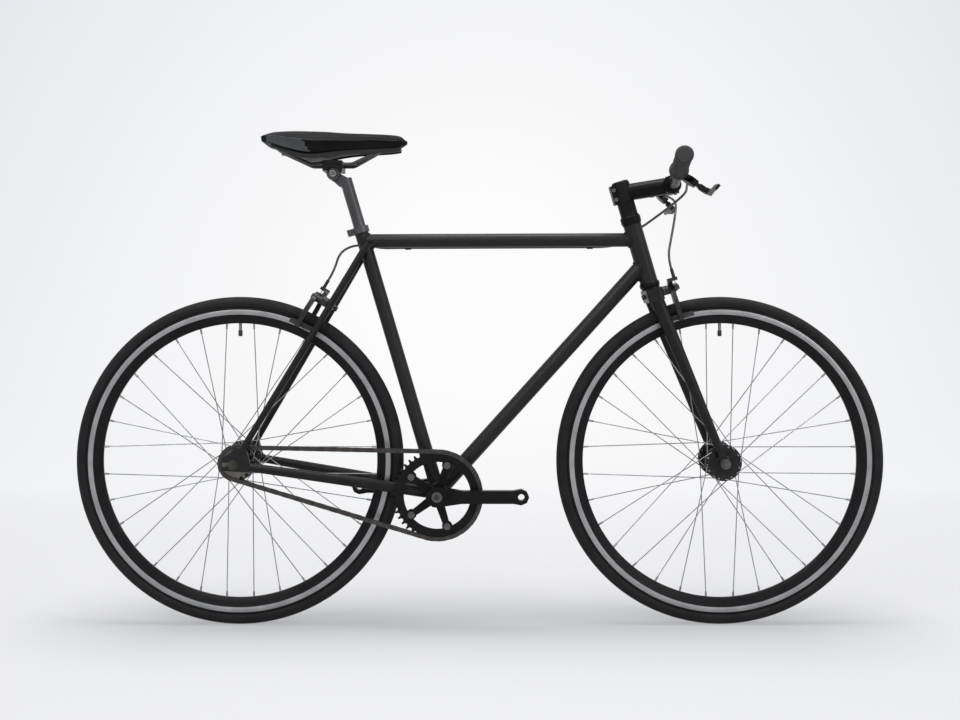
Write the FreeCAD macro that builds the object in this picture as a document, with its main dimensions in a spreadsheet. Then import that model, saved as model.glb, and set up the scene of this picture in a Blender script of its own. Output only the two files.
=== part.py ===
import FreeCAD
import Part
import math
import os
import Sketcher
from FreeCAD import Placement, Rotation, Vector

# Fixed gear bike in millimetres.
# X runs forward, Y to the rider's left and Z up, with the origin on the ground midway between the axles.
SIZES = {
    # Wheels
    "wheelbase": 994.0,
    "wheel_radius": 339.0,
    "tyre_width": 28.0,
    "tyre_wall": 2.0,
    "tube_wall_gap": 0.4,
    "rim_radius": 316.5,
    "rim_depth": 32.5,
    "rim_width": 23.0,
    "rim_wall": 1.8,
    "rim_well_depth": 9.5,
    "rim_nose_width": 10.0,
    "brake_track_height": 13.0,
    "spokes_per_wheel": 32.0,
    "spoke_crossings": 3.0,
    "spoke_diameter": 2.0,
    "spoke_head_diameter": 3.8,
    "spoke_elbow_standoff": 2.1,
    "nipple_diameter": 4.0,
    "nipple_length": 12.0,
    "spoke_hole_clearance": 0.15,
    "hub_flange_diameter": 75.0,
    "hub_spoke_circle": 67.0,
    "hub_flange_thickness": 3.4,
    "hub_barrel_diameter": 32.0,
    "hub_end_diameter": 24.0,
    "hub_end_bevel": 2.0,
    "front_flange_spacing": 70.0,
    "rear_flange_spacing": 62.0,
    "front_hub_width": 100.0,
    "rear_hub_width": 120.0,
    "axle_diameter": 10.0,
    "axle_nut_width": 15.0,
    "axle_nut_thickness": 9.0,
    "axle_nut_washer": 1.6,
    "axle_stub": 4.0,
    "valve_diameter": 6.0,
    "valve_length": 62.0,
    "valve_bore": 2.4,
    "inner_tube_wall": 1.0,
    "running_clearance": 0.05,
    "seat_gap": 0.1,
    # Drive train
    "chain_pitch": 12.7,
    "chain_links": 96.0,
    "chain_inner_width": 3.4,
    "chain_plate_thickness": 1.1,
    "chain_plate_height": 8.4,
    "chain_roller_diameter": 7.7,
    "chain_pin_diameter": 3.6,
    "chain_line": 43.5,
    "chainring_teeth": 44.0,
    "cog_teeth": 16.0,
    "sprocket_thickness": 2.9,
    "tooth_height": 3.4,
    "tooth_tip_width": 3.0,
    "chainring_bolt_circle": 130.0,
    "chainring_opening": 136.0,
    "chainring_bolt_diameter": 10.0,
    "chainring_bolt_head": 14.0,
    "spider_arms": 5.0,
    "spider_arm_width": 15.0,
    "spider_thickness": 6.0,
    "crank_length": 170.0,
    "crank_thickness": 13.0,
    "crank_inner_offset": 55.0,
    "crank_boss_diameter": 40.0,
    "crank_boss_step": 3.0,
    "crank_waist_width": 26.0,
    "crank_end_diameter": 32.0,
    "pedal_hole_diameter": 13.4,
    "spindle_diameter": 17.0,
    "spindle_square": 12.0,
    "crank_bolt_head": 21.0,
    "crank_bolt_thickness": 4.0,
    "lockring_diameter": 46.0,
    "lockring_thickness": 4.0,
    # Frame
    "bottom_bracket_drop": 65.0,
    "bottom_bracket_diameter": 40.0,
    "bottom_bracket_width": 68.0,
    "bottom_bracket_bore": 34.8,
    "bottom_bracket_lip": 3.0,
    "bottom_bracket_lip_diameter": 42.0,
    "seat_angle": 73.5,
    "head_angle": 73.7,
    "seat_tube_length": 572.0,
    "seat_tube_diameter": 28.6,
    "seatpost_diameter": 25.4,
    "seatpost_clearance": 0.1,
    "top_tube_diameter": 28.6,
    "top_tube_below_seat_top": 30.0,
    "top_tube_below_head_top": 32.0,
    "down_tube_diameter": 31.8,
    "down_tube_above_head_end": 38.0,
    "tube_wall": 1.4,
    "head_tube_diameter": 37.0,
    "head_tube_length": 122.0,
    "chainstay_height": 25.0,
    "chainstay_width": 17.0,
    "chainstay_end_diameter": 17.0,
    "seatstay_end_diameter": 13.0,
    "chainstay_spread": 42.0,
    "seatstay_diameter": 15.0,
    "seatstay_spread": 36.0,
    "seatstay_below_top": 46.0,
    "seatstay_plug": 45.0,
    "bridge_diameter": 14.0,
    "brake_mount_distance": 371.0,
    "dropout_thickness": 6.0,
    "dropout_height": 30.0,
    "dropout_reach": 34.0,
    "dropout_tail": 24.0,
    "seat_clamp_diameter": 35.0,
    "seat_clamp_height": 13.0,
    "seat_clamp_ear": 10.0,
    "seat_clamp_slot": 3.0,
    "seat_clamp_bolt": 5.0,
    # Fork and headset
    "fork_rake": 37.0,
    "fork_length": 384.0,
    "steerer_diameter": 28.6,
    "steerer_wall": 2.0,
    "crown_height": 26.0,
    "crown_depth": 34.0,
    "crown_width": 86.0,
    "crown_rounding": 9.0,
    "crown_race_height": 3.0,
    "blade_spread": 64.0,
    "blade_top_depth": 29.0,
    "blade_top_width": 21.0,
    "blade_end_depth": 17.0,
    "blade_end_width": 13.0,
    "blade_wall": 1.5,
    "fork_end_thickness": 5.0,
    "fork_end_height": 30.0,
    "lower_cup_height": 13.0,
    "upper_cup_height": 20.0,
    "cup_diameter": 42.0,
    "cup_bevel": 2.0,
    "cup_insert": 12.0,
    "spacer_diameter": 36.0,
    "spacer_height": 9.6,
    "spacer_count": 3.0,
    "top_cap_height": 5.0,
    # Stem, bar, grips and levers
    "stem_height": 40.0,
    "stem_length": 100.0,
    "stem_drop": 7.0,
    "stem_clamp_diameter": 38.0,
    "stem_arm_diameter": 35.0,
    "stem_bolt_diameter": 5.0,
    "stem_bolt_head": 8.5,
    "bar_clamp_diameter": 25.4,
    "bar_clamp_width": 42.0,
    "bar_bulge_width": 70.0,
    "faceplate_gap": 2.0,
    "bar_diameter": 22.2,
    "bar_wall": 2.0,
    "bar_width": 580.0,
    "bar_straight": 90.0,
    "bar_bend_radius": 120.0,
    "bar_backsweep": 28.0,
    "bar_rise": 22.0,
    "grip_diameter": 32.0,
    "grip_length": 130.0,
    "grip_collar_diameter": 38.0,
    "grip_collar_width": 4.0,
    "grip_end_cap": 3.0,
    "grip_end_bevel": 3.0,
    "lever_place": 146.0,
    "lever_tilt": 40.0,
    "lever_clamp_diameter": 32.0,
    "lever_clamp_width": 13.0,
    "lever_pivot_reach": 36.0,
    "lever_pivot_out": 13.0,
    "lever_pivot_pin": 5.0,
    "lever_boss_diameter": 14.0,
    "lever_blade_reach": 76.0,
    "lever_knee_inset": 12.0,
    "lever_knee_out": 8.0,
    "lever_turn_out": 26.0,
    "lever_tip_flare": 5.0,
    "lever_blade_length": 96.0,
    "lever_blade_thickness": 8.0,
    "lever_blade_height": 11.0,
    "lever_root_height": 7.0,
    "lever_barrel_reach": 26.0,
    "lever_ear_thickness": 3.0,
    "lever_gap": 0.3,
    # Rim brakes
    "caliper_standoff": 3.0,
    "caliper_bracket_thickness": 12.0,
    "caliper_pivot_spread": 28.0,
    "caliper_pivot_diameter": 6.0,
    "caliper_boss_diameter": 15.0,
    "caliper_arm_thickness": 9.5,
    "caliper_arm_width": 10.0,
    "caliper_arm_outreach": 32.0,
    "caliper_layer_gap": 0.6,
    "caliper_bolt_diameter": 6.0,
    "pad_length": 50.0,
    "pad_height": 9.5,
    "pad_thickness": 8.0,
    "pad_clearance": 2.7,
    "cable_diameter": 5.0,
    "inner_wire_diameter": 1.6,
    "adjuster_diameter": 7.0,
    "adjuster_length": 18.0,
    "guide_diameter": 8.0,
    "guide_length": 12.0,
    "guide_forward": 229.0,
    "guide_rear": 150.0,
    # Seatpost and saddle
    "seatpost_insert": 110.0,
    "seatpost_exposed": 104.0,
    "seatpost_head_diameter": 26.0,
    "seatpost_head_width": 36.0,
    "seatpost_setback": 24.0,
    "seatpost_wall": 2.4,
    "cradle_length": 40.0,
    "cradle_width": 56.0,
    "clamp_plate_thickness": 7.0,
    "clamp_plate_gap": 1.2,
    "rail_diameter": 7.0,
    "rail_spacing": 44.0,
    "rail_height": 19.0,
    "saddle_length": 287.0,
    "saddle_width": 144.0,
    "saddle_nose_width": 40.0,
    "saddle_height": 89.0,
    "saddle_thickness": 36.0,
    "saddle_nose_forward": 148.0,
    "saddle_shell_thickness": 6.0,
    "saddle_shell_lip": 3.0,
}

doc = FreeCAD.newDocument("FixedGearBike")
sheet = doc.addObject("Spreadsheet::Sheet", "Sizes")
for row, (alias, number) in enumerate(SIZES.items(), start=1):
    sheet.set("A%d" % row, alias.replace("_", " "))
    sheet.set("B%d" % row, str(number))
    sheet.setAlias("B%d" % row, alias)
doc.recompute()


class Size(float):
    """A number that remembers the sheet formula it comes from."""

    def __new__(cls, value, text):
        size = super().__new__(cls, value)
        size.text = text
        return size

    def __add__(self, other):
        return Size(float(self) + float(other), "(%s + %s)" % (self.text, formula(other)))

    def __sub__(self, other):
        return Size(float(self) - float(other), "(%s - %s)" % (self.text, formula(other)))

    def __mul__(self, other):
        return Size(float(self) * float(other), "(%s * %s)" % (self.text, formula(other)))

    def __truediv__(self, other):
        return Size(float(self) / float(other), "(%s / %s)" % (self.text, formula(other)))

    def __rsub__(self, other):
        return Size(float(other) - float(self), "(%s - %s)" % (formula(other), self.text))

    def __neg__(self):
        return Size(-float(self), "(0 - %s)" % self.text)

    __radd__ = __add__
    __rmul__ = __mul__


def formula(value):
    """The text of a value inside a sheet formula."""
    if isinstance(value, Size):
        return value.text
    return "(%r)" % float(value)


class SheetSizes:
    """Gives each cell of the sheet as a Size, by its alias."""

    def __getattr__(self, alias):
        return Size(float(sheet.get(alias)), "Sizes." + alias)


S = SheetSizes()
PIECES = {}
X_AXIS = Vector(1, 0, 0)
Y_AXIS = Vector(0, 1, 0)
Z_AXIS = Vector(0, 0, 1)
OVERSHOOT = 2.0


# General helpers
def bind(item, name, value):
    """Sets a property, and ties it to the sheet where the value comes from there."""
    setattr(item, name, float(value))
    if isinstance(value, Size):
        item.setExpression(name, value.text)


def frame_at(origin, x_axis, z_axis):
    """A placement with the given origin, X axis and Z axis."""
    return Placement(origin, Rotation(x_axis, z_axis.cross(x_axis), z_axis, "ZXY"))


def lying_along(origin, direction):
    """A placement whose Z axis runs along a direction."""
    return Placement(origin, Rotation(Z_AXIS, direction))


def keep(node, item):
    """Names an object as a finished sub-part."""
    item.Label = node
    PIECES[node] = item
    return item


def rod(name, diameter, length, place):
    """A round bar from the placement's origin along its Z axis."""
    item = doc.addObject("Part::Cylinder", name)
    bind(item, "Radius", diameter / 2)
    bind(item, "Height", length)
    item.Placement = place
    return item


def block(name, length, width, height, place):
    """A box centred on X and Y that stands on the placement's XY plane."""
    item = doc.addObject("Part::Box", name)
    bind(item, "Length", length)
    bind(item, "Width", width)
    bind(item, "Height", height)
    item.Placement = place.multiply(Placement(Vector(-length / 2, -width / 2, 0), Rotation()))
    return item


def solid(name, shape):
    """An object for a shape that is worked out from the sheet's sizes."""
    item = doc.addObject("Part::Feature", name)
    item.Shape = shape
    return item


def joined(name, items):
    item = doc.addObject("Part::MultiFuse", name)
    item.Shapes = items
    return item


def grouped(name, items):
    """Several separate solids of one kind in one sub-part."""
    item = doc.addObject("Part::Compound", name)
    item.Links = items
    return item


def without(name, base, tools):
    """A base object with one or more tools cut from it."""
    item = doc.addObject("Part::Cut", name)
    item.Base = base
    item.Tool = tools[0] if len(tools) == 1 else joined(name + "_tools", tools)
    return item


def tube(name, outer, bore, length, place):
    """A hollow round tube along the placement's Z axis."""
    inner_place = place.multiply(Placement(Vector(0, 0, -OVERSHOOT), Rotation()))
    outside = rod(name + "_outside", outer, length, place)
    inside = rod(name + "_bore", bore, length + 2 * OVERSHOOT, inner_place)
    return without(name, outside, [inside])


def origin_plane(body, role):
    for plane in body.Origin.OriginFeatures:
        if plane.Role == role:
            return plane
    raise ValueError(role)


def draw_outline(sketch, points):
    """Draws a closed outline of straight sides, each corner tied to the sheet."""
    first = sketch.GeometryCount
    count = len(points)
    for index in range(count):
        start = points[index]
        end = points[(index + 1) % count]
        line = Part.LineSegment(Vector(*map(float, start), 0), Vector(*map(float, end), 0))
        sketch.addGeometry(line, False)
    for index in range(count):
        following = first + (index + 1) % count
        sketch.addConstraint(Sketcher.Constraint("Coincident", first + index, 2, following, 1))
    for index, point in enumerate(points):
        for kind, value in zip(("DistanceX", "DistanceY"), point):
            number = sketch.addConstraint(Sketcher.Constraint(kind, -1, 1, first + index, 1, float(value)))
            if isinstance(value, Size):
                sketch.setExpression("Constraints[%d]" % number, value.text)


def sketched(name, role, outlines):
    """A body with one sketch on an origin plane, holding one or more closed outlines."""
    body = doc.addObject("PartDesign::Body", name)
    sketch = body.newObject("Sketcher::SketchObject", name + "_sketch")
    sketch.AttachmentSupport = (origin_plane(body, role), [""])
    sketch.MapMode = "FlatFace"
    for points in outlines:
        draw_outline(sketch, points)
    return body, sketch


def turned(name, outlines, place):
    """A body turned about the placement's Z axis from outlines of (radius, height) corners."""
    body, sketch = sketched(name, "XZ_Plane", outlines)
    turning = body.newObject("PartDesign::Revolution", name + "_turning")
    turning.Profile = sketch
    turning.ReferenceAxis = (sketch, ["V_Axis"])
    turning.Angle = 360.0
    body.Placement = place
    return body


def plate(name, outline, thickness, place, rounding=0.0):
    """A flat plate, centred on the placement's XY plane, with its upright edges rounded."""
    body, sketch = sketched(name, "XY_Plane", [outline])
    pad = body.newObject("PartDesign::Pad", name + "_pad")
    pad.Profile = sketch
    pad.Midplane = True
    bind(pad, "Length", thickness)
    if rounding:
        doc.recompute()
        upright = [
            "Edge%d" % number
            for number, edge in enumerate(pad.Shape.Edges, start=1)
            if abs(edge.tangentAt(edge.FirstParameter).z) > 0.99
        ]
        fillet = body.newObject("PartDesign::Fillet", name + "_rounding")
        fillet.Base = (pad, upright)
        bind(fillet, "Radius", rounding)
    body.Placement = place
    return body


def ellipse_wire(width_x, width_y, place):
    """A closed ellipse, or a circle, in the placement's XY plane."""
    half_x = width_x / 2
    half_y = width_y / 2
    if abs(half_x - half_y) < 1e-6:
        curve = Part.Circle(Vector(), Z_AXIS, float(half_x))
    elif half_x > half_y:
        curve = Part.Ellipse(Vector(half_x, 0, 0), Vector(0, half_y, 0), Vector())
    else:
        curve = Part.Ellipse(Vector(0, half_y, 0), Vector(-half_x, 0, 0), Vector())
    wire = Part.Wire([curve.toShape()])
    wire.Placement = place
    return wire


def tapered(start, end, start_size, end_size, side):
    """A round or oval bar that tapers from one point to another; side is the way its second size lies."""
    along = (end - start).normalize()
    across = side.cross(along).normalize()
    turn = Rotation(across, along.cross(across), along, "ZXY")
    wires = [
        ellipse_wire(start_size[0], start_size[1], Placement(start, turn)),
        ellipse_wire(end_size[0], end_size[1], Placement(end, turn)),
    ]
    return Part.makeLoft(wires, True, True)


def round_taper(start, end, start_diameter, end_diameter):
    """A round bar that tapers from one point to another."""
    along = end - start
    return Part.makeCone(float(start_diameter) / 2, float(end_diameter) / 2, along.Length, start, along)


def bent_path(points, radius=None):
    """Straight runs joined by tangent arcs, each as large as its runs allow unless a radius is given."""
    edges = []
    radii = []
    last = points[0]
    for before, corner, after in zip(points, points[1:], points[2:]):
        inward = (before - corner).normalize()
        outward = (after - corner).normalize()
        half_turn = (math.pi - inward.getAngle(outward)) / 2
        room = 0.45 * min((before - corner).Length, (after - corner).Length)
        bend = float(radius) if radius else room / math.tan(half_turn)
        reach = bend * math.tan(half_turn)
        start = corner + inward * reach
        end = corner + outward * reach
        middle = (inward + outward).normalize()
        nearest = corner + middle * (bend / math.cos(half_turn) - bend)
        edges.append(Part.LineSegment(last, start).toShape())
        edges.append(Part.Arc(start, nearest, end).toShape())
        radii.append(bend)
        last = end
    edges.append(Part.LineSegment(last, points[-1]).toShape())
    return Part.Wire(edges), radii


def swept(points, diameter, radius=None):
    """A round bar bent along straight runs and arcs."""
    path, radii = bent_path(points, radius)
    along = (points[1] - points[0]).normalize()
    section = Part.Wire([Part.Circle(points[0], along, float(diameter) / 2).toShape()])
    shape = path.makePipeShell([section], True, False)
    expected = math.pi * (diameter / 2) ** 2 * path.Length
    if abs(shape.Volume / expected - 1) > 0.01:
        raise ValueError("a bent bar has the wrong volume")
    return shape, path.Length, radii


def around(count):
    """Placements that turn about the Z axis in equal steps."""
    step = 360.0 / count
    return [Placement(Vector(), Rotation(Z_AXIS, step * index)) for index in range(int(count))]


# Driving points in the side view
rear_axle = Vector(-S.wheelbase / 2, 0, S.wheel_radius)
front_axle = Vector(S.wheelbase / 2, 0, S.wheel_radius)
seat_angle = math.radians(S.seat_angle)
head_angle = math.radians(S.head_angle)
seat_up = Vector(-math.cos(seat_angle), 0, math.sin(seat_angle))
steer_up = Vector(-math.cos(head_angle), 0, math.sin(head_angle))
steer_forward = Vector(math.sin(head_angle), 0, math.cos(head_angle))


def pitch_radius(teeth):
    return float(S.chain_pitch) / 2 / math.sin(math.pi / teeth)


def chain_pitches(distance):
    """How many chain pitches a tight loop takes at a distance between the two sprockets."""
    lean = math.asin((pitch_radius(S.chainring_teeth) - pitch_radius(S.cog_teeth)) / distance)
    runs = 2 * distance * math.cos(lean) / S.chain_pitch
    ring_wrap = S.chainring_teeth * (math.pi + 2 * lean) / (2 * math.pi)
    cog_wrap = S.cog_teeth * (math.pi - 2 * lean) / (2 * math.pi)
    return runs + ring_wrap + cog_wrap


def tight_distance():
    """The distance between the sprockets at which the whole number of links is just tight."""
    short = pitch_radius(S.chainring_teeth) + pitch_radius(S.cog_teeth)
    long = float(S.chain_pitch * S.chain_links)
    for _ in range(80):
        middle = (short + long) / 2
        if chain_pitches(middle) < S.chain_links:
            short = middle
        else:
            long = middle
    return (short + long) / 2


chainstay_length = tight_distance()
bracket_forward = math.sqrt(chainstay_length**2 - S.bottom_bracket_drop**2)
bottom_bracket = rear_axle + Vector(bracket_forward, 0, -S.bottom_bracket_drop)
seat_top = bottom_bracket + seat_up * S.seat_tube_length
steer_foot = front_axle - steer_forward * S.fork_rake
FORK = frame_at(steer_foot, steer_forward, steer_up)
SEAT = frame_at(seat_top, Vector(math.sin(seat_angle), 0, math.cos(seat_angle)), seat_up)
head_end = S.fork_length + S.lower_cup_height
head_top = head_end + S.head_tube_length
spacer_start = head_top + S.upper_cup_height
stem_start = spacer_start + S.spacer_height * S.spacer_count
stem_top = stem_start + S.stem_height


def on_fork(forward, side, up):
    """A point given along the steering axis, from the foot nearest to the front axle."""
    return FORK.multVec(Vector(forward, side, up))


def fork_place(forward, side, up, x_axis=X_AXIS, z_axis=Z_AXIS):
    """A placement given in the fork's own frame."""
    return FORK.multiply(frame_at(Vector(forward, side, up), x_axis, z_axis))


top_tube_rear = seat_top - seat_up * S.top_tube_below_seat_top
top_tube_front = on_fork(0, 0, head_top - S.top_tube_below_head_top)
down_tube_front = on_fork(0, 0, head_end + S.down_tube_above_head_end)


# Frame tubes
def full_rod(name, diameter, start, end):
    """A round bar between two points, used as a mitre tool."""
    return rod(name, diameter, (end - start).Length, lying_along(start, end - start))


def make_main_tubes():
    """Head, top, down and seat tubes with mitred ends, and the bottom bracket shell."""
    head_start = on_fork(0, 0, head_end)
    head_finish = on_fork(0, 0, head_top)
    half_shell = S.bottom_bracket_width / 2
    shell_place = lying_along(bottom_bracket - Y_AXIS * half_shell, Y_AXIS)
    head_bore = S.head_tube_diameter - 2 * S.tube_wall
    seat_bore = S.seatpost_diameter + 2 * S.seatpost_clearance
    head_place = fork_place(0, 0, head_end)
    keep("head_tube", tube("head_tube", S.head_tube_diameter, head_bore, S.head_tube_length, head_place))
    keep(
        "bottom_bracket_shell",
        tube(
            "bottom_bracket_shell",
            S.bottom_bracket_diameter,
            S.bottom_bracket_bore,
            S.bottom_bracket_width,
            shell_place,
        ),
    )

    def head_tool(name):
        return full_rod(name, S.head_tube_diameter, head_start, head_finish)

    def shell_tool(name):
        return rod(name, S.bottom_bracket_diameter, S.bottom_bracket_width, shell_place)

    def seat_tool(name):
        return full_rod(name, S.seat_tube_diameter, bottom_bracket, seat_top)

    def mitred(node, diameter, start, end, tools):
        """A tube between two points, cut to fit the tubes it meets."""
        along = (end - start).normalize()
        begin = start + along * OVERSHOOT
        length = (end - start).Length - 2 * OVERSHOOT
        pipe = tube(node + "_pipe", diameter, diameter - 2 * S.tube_wall, length, lying_along(begin, along))
        keep(node, without(node, pipe, tools))

    seat_pipe = tube(
        "seat_tube_pipe",
        S.seat_tube_diameter,
        seat_bore,
        S.seat_tube_length,
        lying_along(bottom_bracket, seat_up),
    )
    keep("seat_tube", without("seat_tube", seat_pipe, [shell_tool("seat_tube_shell_tool")]))
    top_tools = [head_tool("top_tube_head_tool"), seat_tool("top_tube_seat_tool")]
    mitred("top_tube", S.top_tube_diameter, top_tube_rear, top_tube_front, top_tools)
    down_tools = [
        head_tool("down_tube_head_tool"),
        shell_tool("down_tube_shell_tool"),
        seat_tool("down_tube_seat_tool"),
    ]
    mitred("down_tube", S.down_tube_diameter, bottom_bracket, down_tube_front, down_tools)


dropout_inside = S.rear_hub_width / 2
dropout_middle = dropout_inside + S.dropout_thickness / 2
stay_rise = (seat_top - seat_up * S.seatstay_below_top - rear_axle).normalize()
stay_back = Vector(-stay_rise.z, 0, stay_rise.x)
chainstay_way = (bottom_bracket - rear_axle).normalize()
BRIDGE = frame_at(rear_axle + stay_rise * S.brake_mount_distance, stay_back, stay_rise)


def make_dropouts():
    """Track ends: plates with a slot that is open to the rear, on each side of the hub."""
    plates = []
    slot_half = (S.axle_diameter + S.seat_gap) / 2
    half = S.dropout_height / 2
    outline = [
        (-S.dropout_tail, -half * 0.8),
        (S.dropout_reach, -half),
        (S.dropout_reach, half * 0.2),
        (S.dropout_reach * 0.75, S.dropout_reach),
        (S.dropout_reach * 0.2, S.dropout_reach),
        (-S.dropout_tail, half * 0.8),
        (-S.dropout_tail, slot_half),
        (slot_half, slot_half),
        (slot_half, -slot_half),
        (-S.dropout_tail, -slot_half),
    ]
    for side in (1, -1):
        name = "dropout_%s" % ("left" if side > 0 else "right")
        place = frame_at(rear_axle + Y_AXIS * (side * dropout_middle), X_AXIS, -Y_AXIS)
        plates.append(plate(name, outline, S.dropout_thickness, place))
    keep("rear_dropouts", grouped("rear_dropouts", plates))


def dropout_tools(name):
    """Blocks over the dropout plates and outside them, so that the stays lap the plates' inner faces."""
    reach = 2 * (S.dropout_reach + S.seat_gap)
    depth = S.dropout_thickness + S.chainstay_end_diameter
    return [
        block(
            "%s_slot_%d" % (name, number),
            reach,
            reach,
            depth,
            frame_at(rear_axle + Y_AXIS * start, X_AXIS, Y_AXIS),
        )
        for number, start in enumerate((dropout_inside, -dropout_inside - depth))
    ]


def make_stays():
    """Chainstays and seatstays, each a pair, and the brake bridge between the seatstays."""
    wall = S.tube_wall
    hollow = 2 * wall
    chain_end = rear_axle + chainstay_way * (S.dropout_reach * 0.7)
    seat_end = rear_axle + stay_rise * (S.dropout_reach * 0.6)
    stay_top = seat_top - seat_up * S.seatstay_below_top + stay_rise * (S.seatstay_diameter * 0.8)
    chainstays = []
    seatstays = []
    for side in (1, -1):
        word = "left" if side > 0 else "right"
        front = bottom_bracket + Y_AXIS * (side * S.chainstay_spread / 2)
        rear = chain_end + Y_AXIS * (side * dropout_middle)
        upper = stay_top + Y_AXIS * (side * S.seatstay_spread / 2)
        lower = seat_end + Y_AXIS * (side * dropout_middle)
        end = (S.chainstay_end_diameter, S.chainstay_end_diameter)
        end_bore = (S.chainstay_end_diameter - hollow, S.chainstay_end_diameter - hollow)
        big = (S.chainstay_height, S.chainstay_width)
        big_bore = (S.chainstay_height - hollow, S.chainstay_width - hollow)
        top_bore = S.seatstay_diameter - hollow
        foot_bore = S.seatstay_end_diameter - hollow
        chain_shape = tapered(front, rear, big, end, Y_AXIS)
        chain_shape = chain_shape.cut(tapered(front, rear, big_bore, end_bore, Y_AXIS))
        downward = (lower - upper).normalize()
        inner_top = upper + downward * wall
        inner_end = lower - downward * S.seatstay_plug
        seat_shape = round_taper(upper, lower, S.seatstay_diameter, S.seatstay_end_diameter)
        seat_shape = seat_shape.cut(round_taper(inner_top, inner_end, top_bore, foot_bore))
        chainstays.append(solid("chainstay_%s_bar" % word, chain_shape))
        seatstays.append(solid("seatstay_%s_bar" % word, seat_shape))
    shell_tool = rod(
        "chainstay_shell_tool",
        S.bottom_bracket_diameter,
        S.bottom_bracket_width,
        lying_along(bottom_bracket - Y_AXIS * (S.bottom_bracket_width / 2), Y_AXIS),
    )
    seat_tool = full_rod("chainstay_seat_tool", S.seat_tube_diameter, bottom_bracket, seat_top)
    pair = grouped("chainstay_pair", chainstays)
    keep("chainstays", without("chainstays", pair, [shell_tool, seat_tool] + dropout_tools("chainstay")))
    stay_seat_tool = full_rod("seatstay_seat_tool", S.seat_tube_diameter, bottom_bracket, seat_top)
    stay_top_tool = full_rod("seatstay_top_tool", S.top_tube_diameter, top_tube_rear, top_tube_front)
    stay_pair = grouped("seatstay_pair", seatstays)
    tools = [stay_seat_tool, stay_top_tool] + dropout_tools("seatstay")
    keep("seatstays", without("seatstays", stay_pair, tools))
    reach = dropout_inside * 2
    bridge_bar = rod(
        "brake_bridge_bar",
        S.bridge_diameter,
        reach,
        lying_along(BRIDGE.Base - Y_AXIS * (reach / 2), Y_AXIS),
    )
    bolt_tool = rod(
        "brake_bridge_bolt_tool",
        S.caliper_bolt_diameter + 2 * S.seat_gap,
        4 * S.bridge_diameter,
        lying_along(BRIDGE.Base - stay_back * (2 * S.bridge_diameter), stay_back),
    )
    stay_tools = []
    for side in (1, -1):
        upper = stay_top + Y_AXIS * (side * S.seatstay_spread / 2)
        lower = seat_end + Y_AXIS * (side * dropout_middle)
        outside = Y_AXIS * (side * reach)
        shape = round_taper(upper, lower, S.seatstay_diameter, S.seatstay_end_diameter)
        middle = (upper + lower) / 2 + outside
        beyond = Part.makeBox(reach * 4, reach * 2, reach * 4, middle - Vector(reach * 2, reach, reach * 2))
        axis_shift = stay_side_at_bridge(upper, lower)
        beyond.translate(Y_AXIS * (axis_shift - middle.y + side * reach))
        stay_tools.append(solid("brake_bridge_stay_tool_%d" % side, shape))
        stay_tools.append(solid("brake_bridge_end_tool_%d" % side, beyond))
    keep("brake_bridge", without("brake_bridge", bridge_bar, [bolt_tool] + stay_tools))


def stay_side_at_bridge(upper, lower):
    """How far to the side a seatstay's axis is where the brake bridge meets it."""
    share = (BRIDGE.Base - lower).dot(stay_rise) / (upper - lower).dot(stay_rise)
    return lower.y + (upper.y - lower.y) * share


def make_seat_clamp():
    """The collar that pinches the seat tube's top, with a slotted ear at the back and its bolt."""
    ear = S.seat_clamp_ear
    rise = S.seat_clamp_height
    place = SEAT.multiply(Placement(Vector(0, 0, -rise), Rotation()))
    ring = rod("seat_clamp_ring", S.seat_clamp_diameter, rise, place)
    back = -S.seat_clamp_diameter / 2
    ear_place = place.multiply(Placement(Vector(back, 0, 0), Rotation()))
    ears = block("seat_clamp_ears", 2 * ear, 2 * ear, rise, ear_place)
    bore_place = place.multiply(Placement(Vector(0, 0, -rise), Rotation()))
    bore = rod("seat_clamp_bore", S.seat_tube_diameter, 3 * rise, bore_place)
    slot_place = place.multiply(Placement(Vector(back - ear, 0, -rise), Rotation()))
    slot = block("seat_clamp_split", 4 * ear, S.seat_clamp_slot, 3 * rise, slot_place)
    bolt_at = Vector(back - ear * 0.45, -2 * ear, rise / 2)
    hole_place = place.multiply(frame_at(bolt_at, X_AXIS, Y_AXIS))
    hole = rod("seat_clamp_hole", S.seat_clamp_bolt + 2 * S.seat_gap, 4 * ear, hole_place)
    collar = joined("seat_clamp_collar", [ring, ears])
    pinched = without("seat_clamp_body", collar, [bore, slot, hole])
    shank_place = place.multiply(frame_at(bolt_at + Y_AXIS * ear, X_AXIS, Y_AXIS))
    head_place = shank_place.multiply(Placement(Vector(0, 0, -S.seat_clamp_bolt), Rotation()))
    shank = rod("seat_clamp_shank", S.seat_clamp_bolt, 2 * ear, shank_place)
    head = rod("seat_clamp_head", S.seat_clamp_bolt * 1.7, S.seat_clamp_bolt, head_place)
    bolt = joined("seat_clamp_bolt", [shank, head])
    keep("seat_clamp", grouped("seat_clamp", [pinched, bolt]))


guide_drop = S.top_tube_diameter / 2 + S.guide_diameter / 2
guide_side = math.radians(40)


def guide_point(forward):
    """The middle of a cable guide: under the top tube, turned to its left side."""
    share = (forward - top_tube_rear.x) / (top_tube_front.x - top_tube_rear.x)
    axis_point = top_tube_rear + (top_tube_front - top_tube_rear) * share
    return axis_point + Vector(0, math.sin(guide_side), -math.cos(guide_side)) * guide_drop


def make_cable_guides():
    """Two short sleeves on the top tube that hold the rear brake cable."""
    along = (top_tube_front - top_tube_rear).normalize()
    sleeves = []
    for number, forward in enumerate((S.guide_forward, -S.guide_rear)):
        place = lying_along(guide_point(forward) - along * (S.guide_length / 2), along)
        bore = S.cable_diameter + 2 * S.seat_gap
        sleeves.append(tube("cable_guide_%d" % number, S.guide_diameter, bore, S.guide_length, place))
    keep("cable_guides", grouped("cable_guides", sleeves))


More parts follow.
